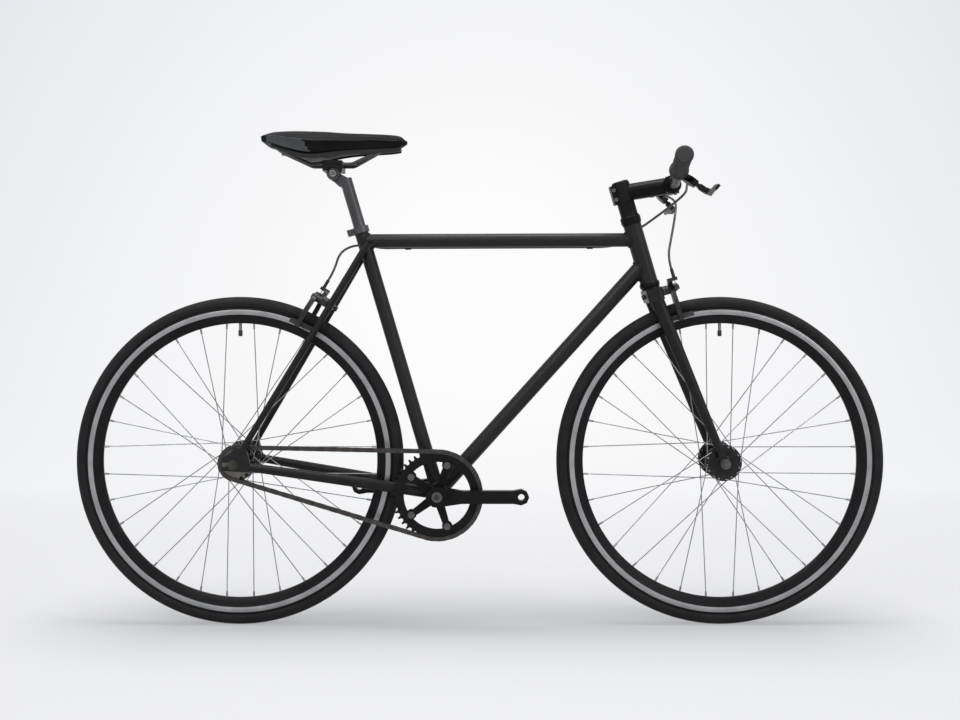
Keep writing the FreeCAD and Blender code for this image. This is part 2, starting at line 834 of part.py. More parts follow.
def make_headset():
    """Cups pressed into both ends of the head tube, each with a bore for the steerer."""
    insert_radius = S.head_tube_diameter / 2 - S.tube_wall - S.running_clearance
    bore_radius = S.steerer_diameter / 2 + S.running_clearance
    cup_radius = S.cup_diameter / 2
    cups = []
    for name, start, height, insert in (
        ("headset_upper_cup", head_top, S.upper_cup_height - S.seat_gap, -S.cup_insert),
        ("headset_lower_cup", head_end, S.seat_gap - S.lower_cup_height, S.cup_insert),
    ):
        outline = [
            (bore_radius, height),
            (cup_radius - S.cup_bevel, height),
            (cup_radius, height * 0.8),
            (cup_radius, height * 0.3),
            (S.head_tube_diameter / 2, 0.0),
            (insert_radius, 0.0),
            (insert_radius, insert),
            (bore_radius, insert),
        ]
        cups.append(turned(name, [outline], fork_place(0, 0, start)))
    keep("headset_cups", grouped("headset_cups", cups))


def make_bottom_bracket():
    """The sealed cartridge inside the bottom bracket shell, with a lip at each end."""
    half = S.bottom_bracket_width / 2
    lip = S.bottom_bracket_lip
    body_radius = S.bottom_bracket_bore / 2 - S.running_clearance
    lip_radius = S.bottom_bracket_lip_diameter / 2
    bore_radius = S.spindle_diameter / 2 + S.running_clearance
    outline = [
        (bore_radius, -half - lip),
        (lip_radius, -half - lip),
        (lip_radius, -half),
        (body_radius, -half),
        (body_radius, half),
        (lip_radius, half),
        (lip_radius, half + lip),
        (bore_radius, half + lip),
    ]
    place = lying_along(bottom_bracket, Y_AXIS)
    keep("bottom_bracket_cartridge", turned("bottom_bracket_cartridge", [outline], place))


make_main_tubes()
make_dropouts()
make_stays()
make_seat_clamp()
make_cable_guides()
make_headset()
make_bottom_bracket()


# Wheels
def rim_outlines():
    """Half-hollow deep rim: the outside and the closed hollow between its walls."""
    outer = S.rim_radius
    inner = outer - S.rim_depth
    half = S.rim_width / 2
    nose = S.rim_nose_width / 2
    track = outer - S.brake_track_height
    well = outer - S.rim_well_depth
    hook = S.rim_wall * 1.3
    wall = S.rim_wall
    outside = [
        (inner, -nose * 0.5),
        (inner, nose * 0.5),
        (inner + nose * 0.5, nose),
        (track, half),
        (outer, half),
        (outer, half - hook),
        (well, half - hook),
        (well - wall, nose),
        (well - wall, -nose),
        (well, hook - half),
        (outer, hook - half),
        (outer, -half),
        (track, -half),
        (inner + nose * 0.5, -nose),
    ]
    hollow = [
        (inner + wall, -nose * 0.4),
        (inner + wall, nose * 0.4),
        (inner + nose * 0.5 + wall, nose - wall),
        (track, half - wall * 1.1),
        (well - wall, half - wall * 1.6),
        (well - wall * 2, nose),
        (well - wall * 2, -nose),
        (well - wall, wall * 1.6 - half),
        (track, wall * 1.1 - half),
        (inner + nose * 0.5 + wall, wall - nose),
    ]
    return [outside, hollow]


def spoke_points(index, flange_half):
    """The hub hole, elbow and rim end of one spoke in the wheel's own frame, whose Z is the axle."""
    count = int(S.spokes_per_wheel)
    step = 2 * math.pi / count
    side = 1 if index % 2 == 0 else -1
    leading = 1 if (index // 2) % 2 == 0 else -1
    rim_angle = (index + 0.5) * step
    hub_angle = rim_angle + leading * S.spoke_crossings * 2 * step
    hub_radius = S.hub_spoke_circle / 2
    beside = S.hub_flange_thickness / 2 + S.spoke_diameter / 2 + S.seat_gap
    outside = beside + S.spoke_elbow_standoff if leading > 0 else -beside
    height = side * (flange_half + outside)
    hole = Vector(hub_radius * math.cos(hub_angle), hub_radius * math.sin(hub_angle), side * flange_half)
    elbow = Vector(hole.x, hole.y, height)
    seat_radius = S.rim_radius - S.rim_depth + S.rim_wall
    rim_end = Vector(seat_radius * math.cos(rim_angle), seat_radius * math.sin(rim_angle), 0)
    return hole, elbow, rim_end


def spoke_shape(index, flange_half):
    """One spoke: a head and elbow through the hub flange, the long wire and its nipple at the rim."""
    hole, elbow, rim_end = spoke_points(index, flange_half)
    radius = S.spoke_diameter / 2
    across = (hole - elbow).normalize()
    along = (rim_end - elbow).normalize()
    through = S.hub_flange_thickness / 2 + (hole - elbow).Length + S.seat_gap
    wire = Part.makeCylinder(radius, (rim_end - elbow).Length - S.nipple_length, elbow, along)
    bend = Part.makeSphere(radius, elbow)
    shank = Part.makeCylinder(radius, through, elbow, across)
    head = Part.makeCylinder(S.spoke_head_diameter / 2, radius, elbow + across * through, across)
    nipple_start = rim_end - along * S.nipple_length
    nipple = Part.makeCylinder(S.nipple_diameter / 2, S.nipple_length, nipple_start, along)
    return wire.fuse([bend, shank, head, nipple]).removeSplitter()


def hub_outline(width, spacing):
    """A large flange hub's half section: barrel, two flanges and two ends, about the axle."""
    half = width / 2 - S.seat_gap
    flange = spacing / 2
    side = S.hub_flange_thickness / 2
    big = S.hub_flange_diameter / 2
    barrel = S.hub_barrel_diameter / 2
    end = S.hub_end_diameter / 2
    bore = S.axle_diameter / 2 + S.running_clearance
    return [
        (bore, -half),
        (end - S.hub_end_bevel, -half),
        (end, S.hub_end_bevel - half),
        (end, -flange - side * 2),
        (barrel, -flange - side),
        (big, -flange - side),
        (big, side - flange),
        (barrel, side - flange),
        (barrel * 0.85, side * 4 - flange),
        (barrel * 0.85, flange - side * 4),
        (barrel, flange - side),
        (big, flange - side),
        (big, flange + side),
        (barrel, flange + side),
        (end, flange + side * 2),
        (end, half - S.hub_end_bevel),
        (end - S.hub_end_bevel, half),
        (bore, half),
    ]


def make_wheel(prefix, axle, width, spacing):
    """Tyre, inner tube with its valve, rim, spokes and hub of one wheel, with the valve at the top."""
    wheel = frame_at(axle, Z_AXIS, Y_AXIS)
    middle = S.wheel_radius - S.tyre_width / 2
    casing = doc.addObject("Part::Torus", prefix + "_casing")
    bind(casing, "Radius1", middle)
    bind(casing, "Radius2", S.tyre_width / 2)
    hollow = doc.addObject("Part::Torus", prefix + "_casing_hollow")
    bind(hollow, "Radius1", middle)
    bind(hollow, "Radius2", S.tyre_width / 2 - S.tyre_wall)
    casing.Placement = wheel
    hollow.Placement = wheel
    hook = S.rim_wall * 1.3
    edge = S.rim_radius + S.seat_gap
    bead = S.rim_width / 2 - hook - S.seat_gap
    wide = S.tyre_width
    well = S.rim_radius - S.rim_well_depth + S.seat_gap
    shoulder = S.tyre_width / 2 - S.tyre_wall * 2.2
    rings = []
    for number, side in enumerate((1, -1)):
        low = well - hook
        ring = [(low, bead * side), (edge, bead * side), (edge, wide * side), (low, wide * side)]
        rings.append(turned("%s_bead_tool_%d" % (prefix, number), [ring], wheel))
    mouth = [(well - wide, -shoulder), (edge, -shoulder), (edge, shoulder), (well - wide, shoulder)]
    floor = [(well - wide, -wide), (well, -wide), (well, wide), (well - wide, wide)]
    rings.append(turned(prefix + "_mouth_tool", [mouth], wheel))
    rings.append(turned(prefix + "_floor_tool", [floor], wheel))
    keep(prefix + "_tyre", without(prefix + "_tyre", casing, [hollow] + rings))

    tube_radius = S.tyre_width / 2 - S.tyre_wall - S.tube_wall_gap
    bladder = doc.addObject("Part::Torus", prefix + "_tube_ring")
    bind(bladder, "Radius1", middle)
    bind(bladder, "Radius2", tube_radius)
    bladder.Placement = wheel
    trim = [(well - wide, -wide), (edge, -wide), (edge, wide), (well - wide, wide)]
    trim_ring = turned(prefix + "_tube_trim", [trim], wheel)
    trimmed = without(prefix + "_tube_body", bladder, [trim_ring])
    air = doc.addObject("Part::Torus", prefix + "_tube_air")
    bind(air, "Radius1", middle + S.inner_tube_wall)
    bind(air, "Radius2", tube_radius - 2 * S.inner_tube_wall)
    air.Placement = wheel
    air_floor = [(corner_radius + S.inner_tube_wall, height) for corner_radius, height in trim]
    air_trim = turned(prefix + "_tube_air_trim", [air_floor], wheel)
    air_space = without(prefix + "_tube_air_space", air, [air_trim])
    valve_foot = middle - tube_radius * 0.5
    valve_place = wheel.multiply(frame_at(Vector(valve_foot - S.valve_length, 0, 0), Y_AXIS, X_AXIS))
    valve = rod(prefix + "_valve", S.valve_diameter, S.valve_length, valve_place)
    valve_bore = rod(prefix + "_valve_bore", S.valve_bore, S.valve_length + tube_radius, valve_place)
    bladder_body = joined(prefix + "_tube_and_valve", [trimmed, valve])
    keep(prefix + "_inner_tube", without(prefix + "_inner_tube", bladder_body, [air_space, valve_bore]))

    flange_half = spacing / 2
    count = int(S.spokes_per_wheel)
    spokes = []
    nipple_tools = []
    hub_tools = []
    for index in range(count):
        hole, elbow, rim_end = spoke_points(index, flange_half)
        along = (rim_end - elbow).normalize()
        spokes.append(spoke_shape(index, flange_half))
        start = rim_end - along * S.rim_depth * 0.4
        radius = S.nipple_diameter / 2 + S.spoke_hole_clearance
        nipple_tools.append(Part.makeCylinder(radius, S.rim_depth * 0.6, start, along))
        thick = S.hub_flange_thickness
        hub_radius = S.spoke_diameter / 2 + S.spoke_hole_clearance
        hub_tools.append(Part.makeCylinder(hub_radius, 2 * thick, hole - Z_AXIS * thick, Z_AXIS))
    spoke_set = solid(prefix + "_spokes", Part.makeCompound(spokes))
    spoke_set.Placement = wheel
    keep(prefix + "_spokes", spoke_set)
    nipple_holes = solid(prefix + "_nipple_holes", Part.makeCompound(nipple_tools))
    nipple_holes.Placement = wheel
    valve_hole = rod(prefix + "_valve_hole", S.valve_diameter + 2 * S.seat_gap, S.valve_length, valve_place)
    rim_body = turned(prefix + "_rim_body", rim_outlines(), wheel)
    drilled = without(prefix + "_rim_drilled", rim_body, [nipple_holes])
    keep(prefix + "_rim", without(prefix + "_rim", drilled, [valve_hole]))
    hub_body = turned(prefix + "_hub_body", [hub_outline(width, spacing)], wheel)
    spoke_holes = solid(prefix + "_hub_holes", Part.makeCompound(hub_tools))
    spoke_holes.Placement = wheel
    keep(prefix + "_hub", without(prefix + "_hub", hub_body, [spoke_holes]))


def make_axle(prefix, axle, width, plate_thickness):
    """A solid axle across the frame or fork ends, with a washer and a hexagon nut on each side."""
    outer = width / 2 + plate_thickness
    nut_end = outer + S.axle_nut_washer + S.axle_nut_thickness
    half = nut_end + S.axle_stub
    bar_place = lying_along(axle - Y_AXIS * half, Y_AXIS)
    pieces = [rod(prefix + "_axle_bar", S.axle_diameter, 2 * half, bar_place)]
    corner = S.axle_nut_width / math.sqrt(3)
    hexagon = [
        (corner * math.cos(math.radians(60 * turn)), corner * math.sin(math.radians(60 * turn)))
        for turn in range(6)
    ]
    bore = S.axle_diameter + 2 * S.running_clearance
    for side in (1, -1):
        word = "left" if side > 0 else "right"
        start = frame_at(axle + Y_AXIS * (side * outer), X_AXIS, Y_AXIS * side)
        washer = tube(
            "%s_washer_%s" % (prefix, word),
            S.axle_nut_width * 1.4,
            bore,
            S.axle_nut_washer,
            start,
        )
        middle = Vector(0, 0, S.axle_nut_washer + S.axle_nut_thickness / 2)
        nut_place = start.multiply(Placement(middle, Rotation()))
        solid_nut = plate("%s_nut_body_%s" % (prefix, word), hexagon, S.axle_nut_thickness, nut_place)
        hole = rod("%s_nut_bore_%s" % (prefix, word), bore, 3 * S.axle_nut_thickness, start)
        pieces.append(washer)
        pieces.append(without("%s_nut_%s" % (prefix, word), solid_nut, [hole]))
    keep(prefix + "_axle", grouped(prefix + "_axle", pieces))


make_wheel("front", front_axle, S.front_hub_width, S.front_flange_spacing)
make_wheel("rear", rear_axle, S.rear_hub_width, S.rear_flange_spacing)
make_axle("front", front_axle, S.front_hub_width, S.fork_end_thickness)
make_axle("rear", rear_axle, S.rear_hub_width, S.dropout_thickness)


# Drive train
def sprocket_face(teeth, turn):
    """A toothed disc's face in the XY plane, with a roller seat at the given turn."""
    seat = S.chain_roller_diameter / 2 + S.seat_gap
    middle = pitch_radius(teeth)
    tip = middle + S.tooth_height
    step = 2 * math.pi / teeth
    open_half = step / 2 - S.tooth_tip_width / 2 / tip
    flank = math.radians(62)
    edges = []
    first = None
    last = None
    for number in range(int(teeth)):
        angle = turn + number * step
        outward = Vector(math.cos(angle), math.sin(angle), 0)
        sideways = Vector(-outward.y, outward.x, 0)
        centre = outward * middle
        low = centre - outward * seat
        before = centre - sideways * (seat * math.sin(flank)) + outward * (-seat * math.cos(flank))
        after = centre + sideways * (seat * math.sin(flank)) + outward * (-seat * math.cos(flank))
        tip_before = Vector(tip * math.cos(angle - open_half), tip * math.sin(angle - open_half), 0)
        tip_after = Vector(tip * math.cos(angle + open_half), tip * math.sin(angle + open_half), 0)
        if last is None:
            first = tip_before
        else:
            edges.append(Part.LineSegment(last, tip_before).toShape())
        edges.append(Part.LineSegment(tip_before, before).toShape())
        edges.append(Part.Arc(before, low, after).toShape())
        edges.append(Part.LineSegment(after, tip_after).toShape())
        last = tip_after
    edges.append(Part.LineSegment(last, first).toShape())
    return Part.Face(Part.Wire(edges))


def chain_pins():
    """The pin centres of the tight chain in the side view, and the roller turns on ring and cog."""
    ring = pitch_radius(S.chainring_teeth)
    cog = pitch_radius(S.cog_teeth)
    away = bottom_bracket - rear_axle
    heading = math.atan2(away.z, away.x)
    lean = math.asin((ring - cog) / away.Length)
    run = away.Length * math.cos(lean) / S.chain_pitch
    ring_step = 2 * math.pi / S.chainring_teeth
    cog_step = 2 * math.pi / S.cog_teeth
    ring_wrap = (math.pi + 2 * lean) / ring_step
    upper_turn = heading + math.pi / 2 + lean
    lower_turn = heading - math.pi / 2 - lean

    def at(centre, radius, turn):
        return centre + Vector(math.cos(turn), 0, math.sin(turn)) * radius

    pins = []
    for number in range(int(S.chain_links)):
        place = float(number)
        if place < run:
            start = at(rear_axle, cog, upper_turn)
            end = at(bottom_bracket, ring, upper_turn)
            pins.append(start + (end - start) * (place / run))
            continue
        place -= run
        if place < ring_wrap:
            pins.append(at(bottom_bracket, ring, upper_turn - place * ring_step))
            continue
        place -= ring_wrap
        if place < run:
            start = at(bottom_bracket, ring, lower_turn)
            end = at(rear_axle, cog, lower_turn)
            pins.append(start + (end - start) * (place / run))
            continue
        place -= run
        pins.append(at(rear_axle, cog, lower_turn - place * cog_step))
    ring_turn = upper_turn - (math.ceil(run) - run) * ring_step
    last = S.chain_links - 1 - (2 * run + ring_wrap)
    cog_turn = lower_turn - last * cog_step
    return pins, ring_turn, cog_turn


def stadium(start, end, height, thickness, level):
    """A link plate with round ends between two pins, lying across Y from a level."""
    along = (end - start).normalize()
    across = Vector(-along.z, 0, along.x) * (height / 2)
    tail = along * (height / 2)
    edges = [
        Part.LineSegment(start + across, end + across).toShape(),
        Part.Arc(end + across, end + tail, end - across).toShape(),
        Part.LineSegment(end - across, start - across).toShape(),
        Part.Arc(start - across, start - tail, start + across).toShape(),
    ]
    face = Part.Face(Part.Wire(edges))
    face.translate(Y_AXIS * level)
    return face.extrude(Y_AXIS * thickness)


def chain_link(start, end, outer):
    """One link: an inner one with its rollers, or an outer one with its pins."""
    half = S.chain_inner_width / 2
    thick = S.chain_plate_thickness
    gap = S.seat_gap
    pin = S.chain_pin_diameter / 2
    if outer:
        inside = half + thick + gap
        reach = inside + thick + gap
        parts = [
            Part.makeCylinder(pin, 2 * reach, point - Y_AXIS * reach, Y_AXIS) for point in (start, end)
        ]
    else:
        inside = half
        roller = S.chain_roller_diameter / 2
        parts = [
            Part.makeCylinder(roller, 2 * half, point - Y_AXIS * half, Y_AXIS) for point in (start, end)
        ]
    plates = [
        stadium(start, end, S.chain_plate_height, thick, inside),
        stadium(start, end, S.chain_plate_height, thick, -inside - thick),
    ]
    link = plates[0].fuse([plates[1]] + parts)
    if not outer:
        long = 2 * (half + 2 * thick)
        holes = [
            Part.makeCylinder(pin + gap, long, point - Y_AXIS * (long / 2), Y_AXIS) for point in (start, end)
        ]
        link = link.cut(holes)
    return link


def make_chain_drive():
    """The chain, the chainring and the cog with its lockring, all in mesh."""
    pins, ring_turn, cog_turn = chain_pins()
    line = Y_AXIS * -S.chain_line
    following = pins[1:] + pins[:1]
    links = [
        chain_link(start, end, number % 2 == 1)
        for number, (start, end) in enumerate(zip(pins, following))
    ]
    chain = solid("chain", Part.makeCompound(links))
    chain.Placement = Placement(line, Rotation())
    keep("chain", chain)

    thick = S.sprocket_thickness
    ring_shape = sprocket_face(S.chainring_teeth, ring_turn).extrude(Z_AXIS * thick)
    opening = Part.makeCylinder(S.chainring_opening / 2, thick * 3, -Z_AXIS * thick)
    ring_shape = ring_shape.cut(opening)
    ears = []
    holes = []
    for index in range(int(S.spider_arms)):
        angle = 2 * math.pi * index / S.spider_arms
        spot = Vector(math.cos(angle), math.sin(angle), 0) * (S.chainring_bolt_circle / 2)
        ears.append(Part.makeCylinder(S.chainring_bolt_head * 0.75, thick, spot))
        hole_radius = S.chainring_bolt_diameter / 2 + S.seat_gap
        holes.append(Part.makeCylinder(hole_radius, thick * 3, spot - Z_AXIS * thick))
    ring_shape = ring_shape.fuse(ears).cut(holes).removeSplitter()
    ring = solid("chainring", ring_shape)
    ring.Placement = frame_at(bottom_bracket + line + Y_AXIS * (thick / 2), X_AXIS, -Y_AXIS)
    keep("chainring", ring)

    cog_shape = sprocket_face(S.cog_teeth, cog_turn).extrude(Z_AXIS * thick)
    sleeve_length = S.chain_line - S.rear_flange_spacing / 2 - S.hub_flange_thickness - thick
    sleeve = Part.makeCylinder(S.hub_barrel_diameter / 2 + 4, sleeve_length, Z_AXIS * -sleeve_length)
    bore_radius = S.hub_end_diameter / 2 + S.seat_gap
    bore = Part.makeCylinder(bore_radius, 8 * sleeve_length, Z_AXIS * -4 * sleeve_length)
    cog = solid("rear_cog", cog_shape.fuse(sleeve).cut(bore).removeSplitter())
    cog.Placement = frame_at(rear_axle + line + Y_AXIS * (thick / 2), X_AXIS, -Y_AXIS)
    keep("rear_cog", cog)
    lock_start = frame_at(rear_axle + line - Y_AXIS * (thick / 2), X_AXIS, -Y_AXIS)
    lock_bore = S.hub_end_diameter + 2 * S.seat_gap
    lockring = tube("cog_lockring", S.lockring_diameter, lock_bore, S.lockring_thickness, lock_start)
    keep("cog_lockring", lockring)


def crank_outline():
    """A crank arm seen from its own side, from the bottom bracket axis along X to the pedal hole."""
    boss = S.crank_boss_diameter / 2
    waist = S.crank_waist_width / 2
    end = S.crank_end_diameter / 2
    length = S.crank_length
    return [
        (boss * -0.95, boss * -0.5),
        (boss * -0.4, -boss),
        (boss * 0.5, boss * -0.95),
        (length * 0.3, -waist),
        (length - end, -waist),
        (length, -end),
        (length + end * 0.7, end * -0.7),
        (length + end, 0.0),
        (length + end * 0.7, end * 0.7),
        (length, end),
        (length - end, waist),
        (length * 0.3, waist),
        (boss * 0.5, boss * 0.95),
        (boss * -0.4, boss),
        (boss * -0.95, boss * 0.5),
    ]


def make_crank(node, side):
    """One crank arm with a square hole for the spindle and a threaded hole for the pedal."""
    forward = X_AXIS * -side
    outward = Y_AXIS * side
    start = S.crank_inner_offset
    middle = start + S.crank_thickness / 2
    arm_place = frame_at(bottom_bracket + outward * middle, forward, outward)
    arm = plate(node + "_arm", crank_outline(), S.crank_thickness, arm_place, S.crank_thickness / 4)
    boss_from = S.bottom_bracket_width / 2 + S.bottom_bracket_lip + 3 * S.seat_gap
    boss_place = frame_at(bottom_bracket + outward * boss_from, forward, outward)
    boss_length = S.crank_inner_offset - boss_from + OVERSHOOT
    boss = rod(node + "_boss", S.crank_boss_diameter - 2 * S.crank_boss_step, boss_length, boss_place)
    parts = [arm, boss]
    if side < 0:
        spider_from = S.chain_line + S.sprocket_thickness / 2
        spider_place = frame_at(bottom_bracket + outward * spider_from, forward, outward)
        reach = S.chainring_bolt_circle / 2
        half = S.spider_arm_width / 2
        for index, turn in enumerate(around(S.spider_arms)):
            outline = [
                (0.0, half * -1.3),
                (reach * 0.7, -half),
                (reach + half * 0.6, half * -0.8),
                (reach + half, 0.0),
                (reach + half * 0.6, half * 0.8),
                (reach * 0.7, half),
                (0.0, half * 1.3),
            ]
            lift = Placement(Vector(0, 0, S.spider_thickness / 2), Rotation())
            place = spider_place.multiply(turn).multiply(lift)
            parts.append(plate("%s_spider_%d" % (node, index), outline, S.spider_thickness, place, half / 4))
        link = S.crank_inner_offset - spider_from
        hub_width = S.crank_boss_diameter + 2 * S.crank_boss_step
        parts.append(rod(node + "_spider_hub", hub_width, link, spider_place))
    body = joined(node + "_body", parts)
    square = block(
        node + "_square_hole",
        S.spindle_square + 2 * S.running_clearance,
        S.spindle_square + 2 * S.running_clearance,
        2 * S.crank_inner_offset,
        frame_at(bottom_bracket, forward, outward),
    )
    well_floor = bottom_bracket + outward * (start + S.crank_thickness - S.crank_bolt_thickness)
    bolt_well = rod(
        node + "_bolt_well",
        S.crank_bolt_head + 2 * S.seat_gap,
        2 * S.crank_bolt_thickness,
        frame_at(well_floor, forward, outward),
    )
    pedal_start = bottom_bracket + forward * S.crank_length + outward * (start - S.crank_thickness)
    pedal = rod(
        node + "_pedal_hole",
        S.pedal_hole_diameter,
        3 * S.crank_thickness,
        frame_at(pedal_start, forward, outward),
    )
    tools = [square, bolt_well, pedal]
    if side < 0:
        holes = []
        for index, turn in enumerate(around(S.spider_arms)):
            spot = turn.multVec(Vector(S.chainring_bolt_circle / 2, 0, -S.spider_thickness))
            place = frame_at(bottom_bracket, forward, outward).multiply(
                Placement(spot + Z_AXIS * spider_from, Rotation())
            )
            holes.append(
                rod(
                    "%s_bolt_hole_%d" % (node, index),
                    S.chainring_bolt_diameter + 2 * S.seat_gap,
                    3 * S.spider_thickness,
                    place,
                )
            )
        tools += holes
    keep(node, without(node, body, tools))


def make_crank_fixings():
    """The spindle with square ends, the crank bolts and the chainring bolts."""
    inner = S.bottom_bracket_width / 2 + S.bottom_bracket_lip
    square_end = S.crank_inner_offset + S.crank_thickness - S.crank_bolt_thickness - S.seat_gap
    round_bar = rod(
        "spindle_bar",
        S.spindle_diameter,
        2 * inner,
        lying_along(bottom_bracket - Y_AXIS * inner, Y_AXIS),
    )
    squares = block(
        "spindle_squares",
        S.spindle_square,
        S.spindle_square,
        2 * square_end,
        frame_at(bottom_bracket - Y_AXIS * square_end, X_AXIS, Y_AXIS),
    )
    keep("bottom_bracket_spindle", joined("bottom_bracket_spindle", [round_bar, squares]))
    bolts = []
    for side in (1, -1):
        start = S.crank_inner_offset + S.crank_thickness - S.crank_bolt_thickness
        place = frame_at(bottom_bracket + Y_AXIS * (side * start), X_AXIS, Y_AXIS * side)
        cap = rod("crank_bolt_cap_%d" % side, S.crank_bolt_head, S.crank_bolt_thickness, place)
        socket_place = place.multiply(Placement(Vector(0, 0, S.crank_bolt_thickness / 2), Rotation()))
        socket_width = S.crank_bolt_head * 0.45
        socket = rod("crank_bolt_socket_%d" % side, socket_width, S.crank_bolt_thickness, socket_place)
        bolts.append(without("crank_bolt_%d" % side, cap, [socket]))
    thick = S.sprocket_thickness
    inner_face = S.chain_line - thick / 2
    stack = thick + S.spider_thickness
    base = frame_at(bottom_bracket - Y_AXIS * inner_face, X_AXIS, -Y_AXIS)
    cap = S.chainring_bolt_head / 7
    for index in range(int(S.spider_arms)):
        angle = 2 * math.pi * index / S.spider_arms
        spot = Vector(math.cos(angle), math.sin(angle), 0) * (S.chainring_bolt_circle / 2)
        low = base.multiply(Placement(spot - Z_AXIS * cap, Rotation()))
        high = base.multiply(Placement(spot + Z_AXIS * stack, Rotation()))
        pieces = [
            rod("chainring_nut_%d" % index, S.chainring_bolt_head, cap, low),
            rod("chainring_barrel_%d" % index, S.chainring_bolt_diameter, stack + 2 * cap, low),
            rod("chainring_head_%d" % index, S.chainring_bolt_head, cap, high),
        ]
        bolts.append(joined("chainring_bolt_%d" % index, pieces))
    keep("crankset_bolts", grouped("crankset_bolts", bolts))


make_chain_drive()
make_crank("crank_arm_right", -1)
make_crank("crank_arm_left", 1)
make_crank_fixings()


# Fork
crown_top = S.fork_length - S.crown_race_height
crown_middle = crown_top - S.crown_height / 2
crown_bottom = crown_top - S.crown_height
blade_end_y = (S.front_hub_width + S.fork_end_thickness) / 2


def make_fork():
    """Steerer, crown with its race, two tapered blades and the slotted fork ends."""
    steerer_length = stem_top - S.top_cap_height / 2 - crown_top
    steerer_bore = S.steerer_diameter - 2 * S.steerer_wall
    keep(
        "fork_steerer",
        tube("fork_steerer", S.steerer_diameter, steerer_bore, steerer_length, fork_place(0, 0, crown_top)),
    )
    half_depth = S.crown_depth / 2
    half_width = S.crown_width / 2
    outline = [
        (-half_depth, -half_width),
        (half_depth, -half_width),
        (half_depth, half_width),
        (-half_depth, half_width),
    ]
    crown_place = fork_place(0, 0, crown_middle)
    crown_block = plate("fork_crown_block", outline, S.crown_height, crown_place, S.crown_rounding)
    race = tube(
        "fork_crown_race",
        S.cup_diameter - 2 * S.cup_bevel,
        S.steerer_diameter + 2 * S.running_clearance,
        S.crown_race_height,
        fork_place(0, 0, crown_top),
    )
    bolt_hole = rod(
        "fork_crown_bolt_hole",
        S.caliper_bolt_diameter + 2 * S.seat_gap,
        2 * S.crown_depth,
        fork_place(-S.crown_depth, 0, crown_middle, Y_AXIS, X_AXIS),
    )
    crown = without("fork_crown", joined("fork_crown_body", [crown_block, race]), [bolt_hole])
    keep("fork_crown", crown)

    pieces = []
    slot_half = (S.axle_diameter + S.seat_gap) / 2
    half_end = S.blade_end_depth / 2
    blade_top = crown_bottom + S.crown_height / 4
    end_share = S.fork_end_height / blade_top
    lean = -S.fork_rake * end_share
    outline = [
        (-half_end, -half_end),
        (-slot_half, -half_end),
        (-slot_half, slot_half),
        (slot_half, slot_half),
        (slot_half, -half_end),
        (half_end, -half_end),
        (half_end, slot_half),
        (lean + half_end * 0.7, S.fork_end_height),
        (lean - half_end * 0.7, S.fork_end_height),
        (-half_end, slot_half),
    ]
    hollow = 2 * S.blade_wall
    top_size = (S.blade_top_depth, S.blade_top_width)
    end_size = (S.blade_end_depth, S.blade_end_width)
    top_bore = (S.blade_top_depth - hollow, S.blade_top_width - hollow)
    end_bore = (S.blade_end_depth - hollow, S.blade_end_width - hollow)
    for side in (1, -1):
        word = "left" if side > 0 else "right"
        top = on_fork(0, side * S.blade_spread / 2, blade_top)
        foot = front_axle + Y_AXIS * (side * blade_end_y)
        end = foot + (top - foot) * end_share
        outside = tapered(top, end, top_size, end_size, Y_AXIS)
        inside = tapered(top, end, top_bore, end_bore, Y_AXIS)
        bar = solid("fork_blade_%s_bar" % word, outside.cut(inside))
        blade = without("fork_blade_" + word, bar, [crown])
        place = frame_at(foot, steer_forward, -Y_AXIS)
        end_plate = plate("fork_end_%s_plate" % word, outline, S.fork_end_thickness, place)
        pieces.append(blade)
        pieces.append(without("fork_end_" + word, end_plate, [blade]))
    keep("fork_blades", grouped("fork_blades", pieces))


def make_headset_stack():
    """Spacers above the upper cup, and the cap with its bolt on top of the stem."""
    bore = S.steerer_diameter + 2 * S.running_clearance
    rings = []
    for number in range(int(S.spacer_count)):
        place = fork_place(0, 0, spacer_start + S.spacer_height * number)
        rings.append(tube("headset_spacer_%d" % number, S.spacer_diameter, bore, S.spacer_height, place))
    keep("headset_spacers", grouped("headset_spacers", rings))
    radius = S.spacer_diameter / 2
    rise = S.top_cap_height
    socket = S.stem_bolt_diameter / 2
    outline = [
        (0.0, 0.0),
        (radius, 0.0),
        (radius, rise * 0.5),
        (radius - rise * 0.5, rise),
        (socket, rise),
        (socket, rise * 0.4),
        (0.0, rise * 0.4),
    ]
    keep("headset_top_cap", turned("headset_top_cap", [outline], fork_place(0, 0, stem_top)))


# Stem and handlebar
stem_drop = math.radians(S.stem_drop)
stem_way = Vector(math.cos(stem_drop), 0, -math.sin(stem_drop))
stem_rise = Vector(math.sin(stem_drop), 0, math.cos(stem_drop))
STEM = fork_place(0, 0, stem_start + S.stem_height / 2, stem_way, stem_rise)
bar_middle = STEM.multVec(Vector(S.stem_length, 0, 0))


def stem_place(x, y, z, x_axis=X_AXIS, z_axis=Z_AXIS):
    """A placement given in the stem's own frame, whose X axis runs to the bar."""
    return STEM.multiply(frame_at(Vector(x, y, z), x_axis, z_axis))


